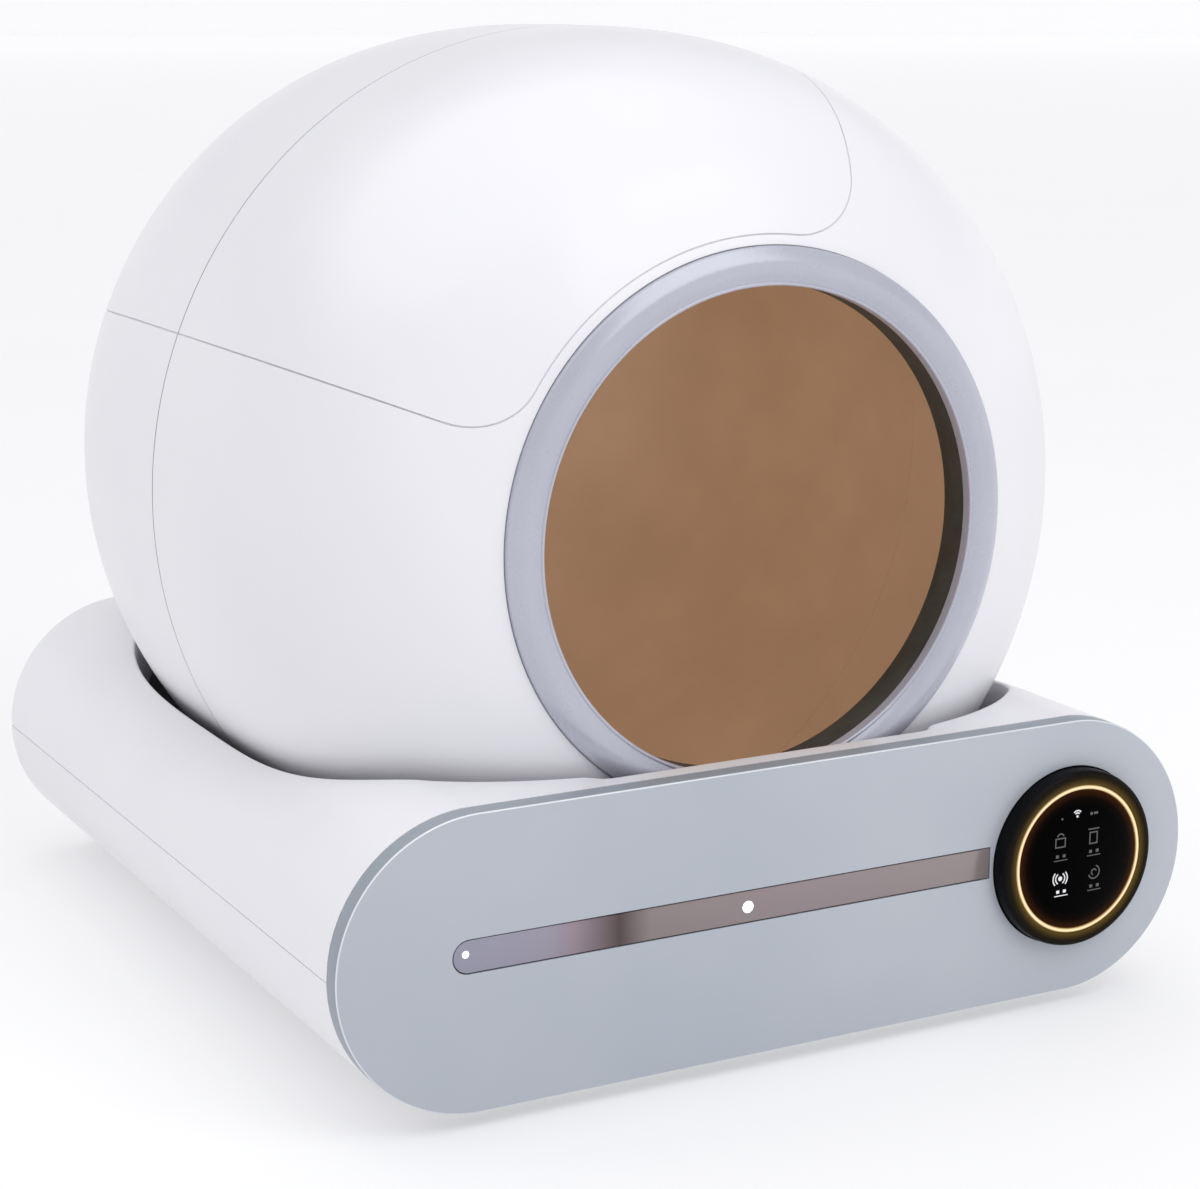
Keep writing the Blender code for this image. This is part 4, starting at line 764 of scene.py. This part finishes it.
def rimCurve():
    # (x, y) on the casing's surface from the front middle, round the right side, to the rear middle
    def skin(away, part):
        reach, fullness = casing[part + "Reach"], casing[part + "Fullness"]
        return casing["radius"] * max(1 - (away / reach) ** fullness, 0) ** (1 / fullness)

    def opening(away, part):
        return rimHalfWidth(skin(away, part))

    def whereRadius(radius, part):
        share = 1 - (radius / casing["radius"]) ** casing[part + "Fullness"]
        return casing[part + "Reach"] * share ** (1 / casing[part + "Fullness"])

    nose, side, tail = casing["noseSteps"], casing["sideSteps"], casing["tailSteps"]
    start, end = casing["pocketStart"], casing["pocketEnd"]
    notchX = rimHalfWidth(casing["notchRadius"])
    points = [(notchX * i / nose, -casing["notchReach"]) for i in range(nose + 1)]
    notchEnd = whereRadius(casing["notchRadius"], "front")
    for i in range(1, side):
        away = notchEnd * math.cos(math.pi / 2 * i / side)
        points.append((opening(away, "front"), -away))
    points += [(opening(start * i / side, "rear"), start * i / side) for i in range(side)]
    pocketX = rimHalfWidth(casing["pocketRadius"])
    points += [(pocketX, start), (pocketX, end)]
    rearEnd = whereRadius(drum["z"] - pillTop(0), "rear")
    for i in range(tail):
        away = end + (rearEnd - end) * math.sin(math.pi / 2 * i / tail)
        points.append((opening(away, "rear"), away))
    points.append((0, rearEnd))
    points = [(x, drum["y"] + y) for x, y in points]
    loop = points + [(-x, y) for x, y in points[-2:0:-1]]
    count = casing["around"]
    even = evenPoints(loop + loop[:1], count)[:-1]
    for _ in range(3):  # softens the corners
        even = [tuple((even[i - 1][n] + 2 * even[i][n] + even[(i + 1) % count][n]) / 4 for n in (0, 1))
                for i in range(count)]
    return even


def unroll(x):
    over = abs(x) - base["endX"]
    if over <= 0:
        return x
    return math.copysign(base["endX"] + base["endRadius"] * math.asin(min(over / base["endRadius"], 1)), x)


def onCasing(w, y, inset=0.0):
    # a place on the pill: w runs round its section from the top's middle
    into = y - (base["rear"] - casing["rearRound"])
    if into > 0:
        inset += casing["rearRound"] - math.sqrt(max(casing["rearRound"] ** 2 - into ** 2, 0))
    radius = base["endRadius"] - inset
    over = abs(w) - base["endX"]
    if over <= 0:
        return Vector((w, y, base["midZ"] + radius))
    turn = over / base["endRadius"]
    return Vector((math.copysign(base["endX"] + radius * math.sin(turn), w), y,
                   base["midZ"] + casing["seam"] + radius * math.cos(turn)))


def casingBorder(rim):
    # the place on the casing's border that each place of the rim faces
    edgeW, far = base["endX"] + base["endRadius"] * math.pi / 2, 1e9
    border = []
    for w, y in rim:
        end = base["rear"] if y > 0 else base["front"]
        scale = min(edgeW / abs(w) if w else far, end / y if y else far)
        border.append((w * scale, y * scale))
    for corner in [(w, y) for w in (edgeW, -edgeW) for y in (base["front"], base["rear"])]:
        near = min(range(len(rim)), key=lambda i: math.dist(border[i], corner))
        border[near] = corner
    return border


def rimDirections(rim, places, border):
    # at each place of the rim: away from the opening, and down into it
    outwards, downwards = [], []
    straight = Vector((0, 0, -1))
    for i, (w, y) in enumerate(rim):
        along = (places[(i + 1) % len(rim)] - places[i - 1]).normalized()
        turn = max(abs(w) - base["endX"], 0) / base["endRadius"]
        normal = Vector((math.copysign(math.sin(turn), w), 0, math.cos(turn)))
        away = along.cross(normal).normalized()
        towards = Vector((border[i][0] - w, border[i][1] - y, 0))
        if away.x * towards.x + away.y * towards.y < 0:
            away = -away
        outwards.append(away)
        wallNormal = Vector((places[i].x, 0, places[i].z - drum["z"])).normalized()
        down = along.cross(wallNormal).normalized()
        if down.z > 0:
            down = -down
        lean = (straight - along * along.dot(straight)).normalized()
        # follows the drum along the sides, upright at both ends
        share = skirt["alongDrum"] * min(abs(along.y) * skirt["sideTurn"], 1)
        downwards.append((down * share + lean * (1 - share)).normalized())
    return outwards, downwards


def casingTop():
    # bent in code: an even rim round this opening can't be had from the edit tools
    rim = [(unroll(x), y) for x, y in rimCurve()]
    count, rows, lip = len(rim), casing["rows"], casing["lip"]
    border = casingBorder(rim)
    places = [onCasing(*point) for point in rim]
    outwards, downwards = rimDirections(rim, places, border)
    grid = []
    for t in skirt["rows"]:  # skirt, from its lower edge up
        grid.append([places[i] + downwards[i] * (lip + (skirtDepth(rim[i][1]) - lip) * t)
                     for i in range(count)])
    for k in range(casing["lipSteps"] + 1):  # round lip
        t = k / casing["lipSteps"]
        row = []
        for i in range(count):
            low = places[i] + downwards[i] * lip
            high = places[i] + outwards[i] * lip
            row.append(low * (1 - t) ** 2 + places[i] * 2 * t * (1 - t) + high * t * t)
        grid.append(row)
    for k in range(1, rows + 1):  # top, from the lip to the border
        t = 1 - (1 - k / rows) ** casing["crowding"]
        row = []
        for i in range(count):
            (w, y), goal = rim[i], border[i]
            gap = math.dist((w, y), goal)
            start = min(lip / gap, casing["lipReach"])
            share = start + (1 - start) * t
            point = onCasing(w + (goal[0] - w) * share, y + (goal[1] - y) * share)
            eased = casing["easedRows"] - k
            if eased > 0:  # eases the grid from the lip's square run to the straight one
                square = places[i] + outwards[i] * (lip + gap * (share - start))
                point = point.lerp(square, eased / (casing["easedRows"] * 2))
            row.append(point)
        grid.append(row)
    corners = [tuple(point) for row in grid for point in row]
    faces = []
    for low in range(0, (len(grid) - 1) * count, count):
        for i in range(count):
            j = (i + 1) % count
            faces.append((low + i, low + j, low + count + j, low + count + i))
    mesh = bpy.data.meshes.new("casingTop")
    mesh.from_pydata(corners, [], faces)
    piece = bpy.data.objects.new("casingTop", mesh)
    bpy.context.scene.collection.objects.link(piece)
    take(piece)
    setMode("EDIT")
    turnFacesOut()
    setMode("OBJECT")
    high = max(mesh.polygons, key=lambda face: face.center.z)
    if high.normal.z < 0:
        mesh.flip_normals()
    shapeWith(piece, "SOLIDIFY", thickness=base["wall"], offset=-1.0, use_even_offset=False)
    return smooth(piece, 35)


dress(casingTop(), "shellWhite", "base", "white_shell", "base_upper_shell")

piece = blockPiece("casingBottom", (-base["half"], base["front"], base["low"]),
                   (base["half"], base["rear"], base["low"] + base["high"]))
roundEdges(piece, runsAlongY, base["endRadius"] * fullRound, casing["bottomSteps"])
roundEdges(piece, liesAt(base["rear"]), casing["rearRound"], casing["rearSteps"])
take(piece)
setMode("EDIT")
selectAll()
bpy.ops.mesh.bisect(plane_co=(0, 0, base["midZ"] - casing["seam"]), plane_no=(0, 0, 1),
                    clear_outer=True)
dropFaces(piece, lambda face: abs(face.normal.y) > 0.999)  # front and rear are open
shapeWith(piece, "SOLIDIFY", thickness=base["wall"], offset=-1.0, use_even_offset=True)
dress(smooth(piece, 35), "shellWhite", "base", "white_shell", "base_lower_shell")


def boreTool(name, place, radius, frontY, rearY, turns):
    return turnPiece(name, [(frontY, 0), (frontY, radius), (rearY, radius), (rearY, 0)], place, turns)


rearCover = {"gap": 0.0005, "thick": 0.003, "sunk": 0.0002, "edge": 0.0008, "roundSteps": 40, "edgeSteps": 3}
inlet = {"x": 0.060, "z": 0.038, "radius": 0.0066, "into": 0.02, "out": 0.01, "turns": 48}
radius = base["endRadius"] - (casing["rearRound"] + rearCover["gap"])
outsideY = base["rear"] - rearCover["sunk"]
piece = blockPiece("rearCover",
                   (-base["endX"] - radius, base["rear"] - rearCover["thick"], base["midZ"] - radius),
                   (base["endX"] + radius, outsideY, base["midZ"] + radius))
roundEdges(piece, runsAlongY, radius * fullRound, rearCover["roundSteps"])
roundEdges(piece, liesAt(outsideY), rearCover["edge"], rearCover["edgeSteps"])
cutWith(piece, boreTool("inletCut", (inlet["x"], inlet["z"]), inlet["radius"], base["rear"] - inlet["into"],
                        base["rear"] + inlet["out"], inlet["turns"]))
dress(smooth(piece, 35), "shellWhite", "base", "white_shell")
print("base casing done")


# front panel of the drawer, its light window and the dial

panel = {
    "thick": 0.010, "edge": 0.0011, "roundSteps": 56, "edgeSteps": 4, "holeRadius": 0.0493, "holeTurns": 128,
    "sideTurn": 0.2, "faceTurn": 0.98,
}
frontY = base["panelFront"]
dialMiddle = (dial["x"], dial["z"])


def windowBlock(name, inset, frontY, rearY):
    # square at the right end, beside the dial's hole
    radius = window["high"] / 2 - inset
    piece = blockPiece(name, (window["left"] + inset, frontY, window["z"] - radius),
                       (window["right"] - inset, rearY, window["z"] + radius))
    return roundEdges(piece, lambda edge: runsAlongY(edge) and edge.verts[0].co.x < 0, radius * fullRound,
                      window["roundSteps"])


piece = blockPiece("frontPanel", (-base["half"], frontY, base["midZ"] - base["endRadius"]),
                   (base["half"], frontY + panel["thick"], base["midZ"] + base["endRadius"]))
roundEdges(piece, runsAlongY, base["endRadius"] * fullRound, panel["roundSteps"])
roundEdges(piece, liesAt(frontY), panel["edge"], panel["edgeSteps"])
# painted shade: the side band takes a darker copy of the panel's blue
paintFaces(piece, "panelSidePaintedShade", lambda face: abs(face.normal.y) < panel["sideTurn"])
# painted highlight: the front bevel takes a lighter copy of the panel's blue
paintFaces(piece, "panelEdgePaintedHighlight", lambda face: panel["sideTurn"] < -face.normal.y < panel["faceTurn"])
cutWith(piece, boreTool("dialHole", dialMiddle, panel["holeRadius"], frontY - panel["thick"],
                        frontY + panel["thick"] * 2, panel["holeTurns"]))
cutWith(piece, windowBlock("windowPocket", 0, frontY - window["out"], frontY + window["pocket"]))
dress(smooth(piece, 35), "panelBlue", "drawer", "panel_plastic", "drawer_front_panel")

piece = windowBlock("lightWindow", window["inset"], frontY + window["sunk"], frontY + window["thick"])
roundEdges(piece, liesAt(frontY + window["sunk"]), window["edge"], window["edgeSteps"])
dress(smooth(piece, 40), "windowTintReflection", "drawer", "smoked_window", "light_window")


def turnFrom(frontY, name, place, profile, turns, degrees):
    # profile of (depth behind frontY, radius)
    points = [(frontY + depth, radius) for depth, radius in profile]
    return smooth(turnPiece(name, points, place, turns), degrees)


lamps = {
    "statusLamp": {"place": (-0.1830, 0.0897), "radius": 0.0021},
    "modeLamp": {"place": (-0.0262, 0.0880), "radius": 0.0036},
}
lens = [(0.0004, 0), (0.0004, 1), (-0.00005, 0.8), (-0.0002, 0.4), (-0.00022, 0)]  # depth, share of radius
lensTurns = 32
for name, lamp in lamps.items():
    profile = [(depth, lamp["radius"] * share) for depth, share in lens]
    piece = turnFrom(frontY, name, lamp["place"], profile, lensTurns, 60)
    dress(piece, "lampWhite", "drawer", "light_gold")

dialProfiles = {  # depth behind the dial's front, and radius
    "rim": [(0.003, 0), (0.003, 0.0411), (0.0004, 0.0411), (0, 0.0416), (0.0001, 0.0462), (0.0004, 0.0473),
            (0.0012, 0.0481), (0.0026, dial["edge"]), (0.0192, dial["edge"]), (0.0192, 0.043), (0.005, 0.043),
            (0.005, 0)],
    "light": [(0.0028, dial["lightInner"]), (0.0007, dial["lightInner"]), (0.0004, 0.0388), (0.0003, 0.0396),
              (0.0004, 0.0404), (0.0007, dial["lightOuter"]), (0.0028, dial["lightOuter"])],
    "glass": [(0.0028, 0), (0.0028, 0.0381), (0.0008, 0.0381), (0.0005, 0.0377), (0.0005, 0)],
}
dialTurns = 128
piece = turnFrom(dial["front"], "dialRim", dialMiddle, dialProfiles["rim"], dialTurns, 40)
dress(piece, "dialRim", "base", "dial_black", "dial_housing")
piece = turnFrom(dial["front"], "dialLight", dialMiddle, dialProfiles["light"], dialTurns, 60)
dress(piece, "lightGold", "base", "light_gold", "dial_light_ring")
piece = turnFrom(dial["front"], "dialGlass", dialMiddle, dialProfiles["glass"], dialTurns, 40)
dress(piece, "dialGlassBlack", "base", "dial_face", "dial_glass")

# lit marks on the glass: plain signs, places from the dial's centre
marks = {"front": 0.0004, "rear": 0.0006, "line": 0.0007, "arcSteps": 16}
signs = {
    "signal": {"place": (-0.0018, 0.0240), "dot": 0.0007, "arcs": (0.0019, 0.0032)},
    "waves": {"place": (-0.0117, -0.0092), "dot": 0.0013, "arcs": ((0.0030, 60), (0.0047, 45))},
    "dots": ((-0.0118, 0.0239, 0.0006), (0.0076, 0.0243, 0.0009)),
    "lever": (0.0105, 0.0243, 0.0026, 0.0013),
    "tray": {"frame": (-0.0124, 0.0108, 0.0062, 0.0048), "handle": (-0.0124, 0.0136, 0.0022, 20, 160)},
    "bin": {"frame": (0.0095, 0.0106, 0.0048, 0.0062), "lid": (0.0095, 0.0156, 0.0072)},
    "turn": ((0.0107, -0.0088, 0.0036, 200, 430), (0.0107, -0.0088, 0.0016, 20, 250)),
}
label = {"side": 0.0022, "up": 0.0010, "block": (0.0019, 0.0017), "down": 0.0013, "line": (0.0088, 0.0005)}
labels = [(-0.0108, -0.0175), (-0.0119, 0.0023), (0.0101, 0.0021), (0.0112, -0.0175)]


def markSlab(outline):
    outline = [(dial["x"] + x, dial["z"] + z) for x, z in outline]
    return slabPiece("mark", outline, dial["front"] + marks["front"], dial["front"] + marks["rear"])


def markBar(x, z, width, height):
    return markSlab([(x - width / 2, z - height / 2), (x + width / 2, z - height / 2),
                     (x + width / 2, z + height / 2), (x - width / 2, z + height / 2)])


def markArc(x, z, radius, start, end):
    half, steps = marks["line"] / 2, marks["arcSteps"]
    return markSlab(arcPoints((x, z), radius + half, start, end, steps) +
                    arcPoints((x, z), radius - half, end, start, steps))


def markDot(x, z, radius):
    return markSlab(arcPoints((x, z), radius, 0, 337.5, 15))


def markLabel(x, z):
    # two blocks over a line
    pieces = [markBar(x + side * label["side"], z + label["up"], *label["block"]) for side in (-1, 1)]
    return pieces + [markBar(x, z - label["down"], *label["line"])]


def markFrame(x, z, width, height):
    # four bars that meet at their ends
    line = marks["line"]
    pieces = [markBar(x, z + side * height / 2, width + line, line) for side in (-1, 1)]
    return pieces + [markBar(x + side * width / 2, z, line, height - line) for side in (-1, 1)]


signal, waves = signs["signal"], signs["waves"]
bright = [markDot(*signal["place"], signal["dot"])]
bright += [markArc(*signal["place"], radius, 45, 135) for radius in signal["arcs"]]
bright += [markDot(*waves["place"], waves["dot"])]
for radius, half in waves["arcs"]:
    bright += [markArc(*waves["place"], radius, middle - half, middle + half) for middle in (180, 0)]
bright += markLabel(*labels[0])
dim = [markDot(*dot) for dot in signs["dots"]] + [markBar(*signs["lever"])]
dim += markFrame(*signs["tray"]["frame"]) + [markArc(*signs["tray"]["handle"])]
dim += markFrame(*signs["bin"]["frame"]) + [markBar(*signs["bin"]["lid"], marks["line"])]
dim += [markArc(*arc) for arc in signs["turn"]]
for place in labels[1:]:
    dim += markLabel(*place)
dress(joinPieces(bright, "dialMarksBright"), "markWhite", "base", "light_gold")
dress(joinPieces(dim, "dialMarksFaint"), "markFaint", "base", "light_gold")
print("panel and dial done")


# solids that keep their CAD shape get their finish here

carried = {
    "innerGrey": ["front_bulkhead", "gearbox_case", "roller_carrier_left", "roller_carrier_right",
                  "bin_runner_inner", "bin_runner_outer", "hatch_seam_rib", "drum_seam_ring",
                  "sieve_basket_right", "sieve_basket_left", "waste_port_chute", "bag_frame"],
    "boardGreen": ["touch_board", "main_board", "hall_sensor", "led_board"],
    "steelBright": ["motor_can", "catch_plate", "drive_shaft"],
    "gearNylon": ["ring_gear", "drive_pinion"],
    "magnetNickel": ["index_magnet", "panel_magnet"],
    "footRubber": ["power_inlet"],
    "shellWhite": ["waste_bin"],
}
for end in ("front", "rear"):
    for side in ("left", "right"):
        carried["steelBright"] += [f"weight_sensor_{end}_{side}", f"roller_axle_{end}_{side}"]
        carried["footRubber"] += [f"foot_pad_{end}_{side}", f"roller_{end}_{side}"]
for finish, names in carried.items():
    for name in names:
        cadNodes[name].data.materials.clear()
        cadNodes[name].data.materials.append(made[finish])
print("carried solids dressed")


# floor, light and camera

studio = {
    "floor": 68.0, "wallRadius": 30.0, "wallHigh": 8.0, "paper": (0.58, 0.58, 0.59), "shade": 0.985,
    "patch": 3.0, "roughness": 0.8, "floorGlow": 0.355, "wallGlow": 0.48, "air": (0.97, 0.97, 1.0),
    "airStrength": 0.52,
}


def paperFinish(name, glow):
    material, tree, shader = newMaterial(name)
    shade = [c * studio["shade"] for c in studio["paper"]]
    cloud = cloudTexture(tree, placeTexture(tree), studio["patch"])
    tint = colourSteps(tree, cloud, [(0.3, shade), (0.7, studio["paper"])])
    tree.links.new(tint, shader.inputs["Base Color"])
    shader.inputs["Roughness"].default_value = studio["roughness"]
    shader.inputs["Emission Color"].default_value = (1, 1, 1, 1)
    shader.inputs["Emission Strength"].default_value = glow
    return material


clearSelection()
bpy.ops.mesh.primitive_plane_add(size=studio["floor"], location=(0, 0, 0))
floor = closePiece(nameNew("studioFloor"))
floor.data.materials.append(paperFinish("floorPaper", studio["floorGlow"]))
clearSelection()
bpy.ops.mesh.primitive_cylinder_add(vertices=96, radius=studio["wallRadius"], depth=studio["wallHigh"],
                                    end_fill_type="NOTHING", location=(0, 0, studio["wallHigh"] / 2))
wall = closePiece(nameNew("studioWall"))
pick(wall, "FACE", lambda face: True)
bpy.ops.mesh.flip_normals()
setMode("OBJECT")
smooth(wall).data.materials.append(paperFinish("wallPaper", studio["wallGlow"]))

world = bpy.data.worlds.new("studioAir")
world.use_nodes = True
air = world.node_tree.nodes["Background"].inputs
air["Color"].default_value = (*studio["air"], 1)
air["Strength"].default_value = studio["airStrength"]
bpy.context.scene.world = world
bpy.context.scene.view_settings.view_transform = "Standard"


def addLight(kind, name, lamp, run, axis):
    # axis names the lamp's own axis that is turned along the run
    clearSelection()
    bpy.ops.object.light_add(type=kind, location=lamp["place"])
    light = bpy.context.object
    light.name = name
    light.data.energy = lamp["power"]
    light.rotation_euler = run.to_track_quat(axis, "Y").to_euler()
    return light.data


sky = {"place": (0.6, -0.6, 2.0), "from": (-0.24, 0.10, 1.0), "spread": 78.0, "power": 1.3}
box = {"place": (0.5, -1.8, 1.9), "aim": (0.0, 0, 0.25), "size": 1.6, "power": 18}
# wide soft light from above, and a box that stands in front
addLight("SUN", "skyLight", sky, Vector(sky["from"]), "Z").angle = math.radians(sky["spread"])
addLight("AREA", "frontBox", box, Vector(box["aim"]) - Vector(box["place"]), "-Z").size = box["size"]

camera = {
    "place": (-0.7052, -1.37195, 0.5406), "azimuth": -28.1358, "elevation": 12.6462, "roll": 0.046,
    "lens": 81.72, "sensor": 36, "far": 1000,
}
clearSelection()
bpy.ops.object.camera_add(location=camera["place"])
eye = bpy.context.object
eye.name = "photoCamera"
eye.data.lens = camera["lens"]
eye.data.sensor_width = camera["sensor"]
eye.data.sensor_fit = "HORIZONTAL"
eye.data.clip_end = camera["far"]
turn = Matrix.Rotation(math.radians(camera["azimuth"]), 4, "Z")
tilt = Matrix.Rotation(math.radians(90 - camera["elevation"]), 4, "X")
roll = Matrix.Rotation(math.radians(camera["roll"]), 4, "Z")
eye.matrix_world = Matrix.Translation(camera["place"]) @ turn @ tilt @ roll
bpy.context.scene.camera = eye
print("floor, light and camera done")
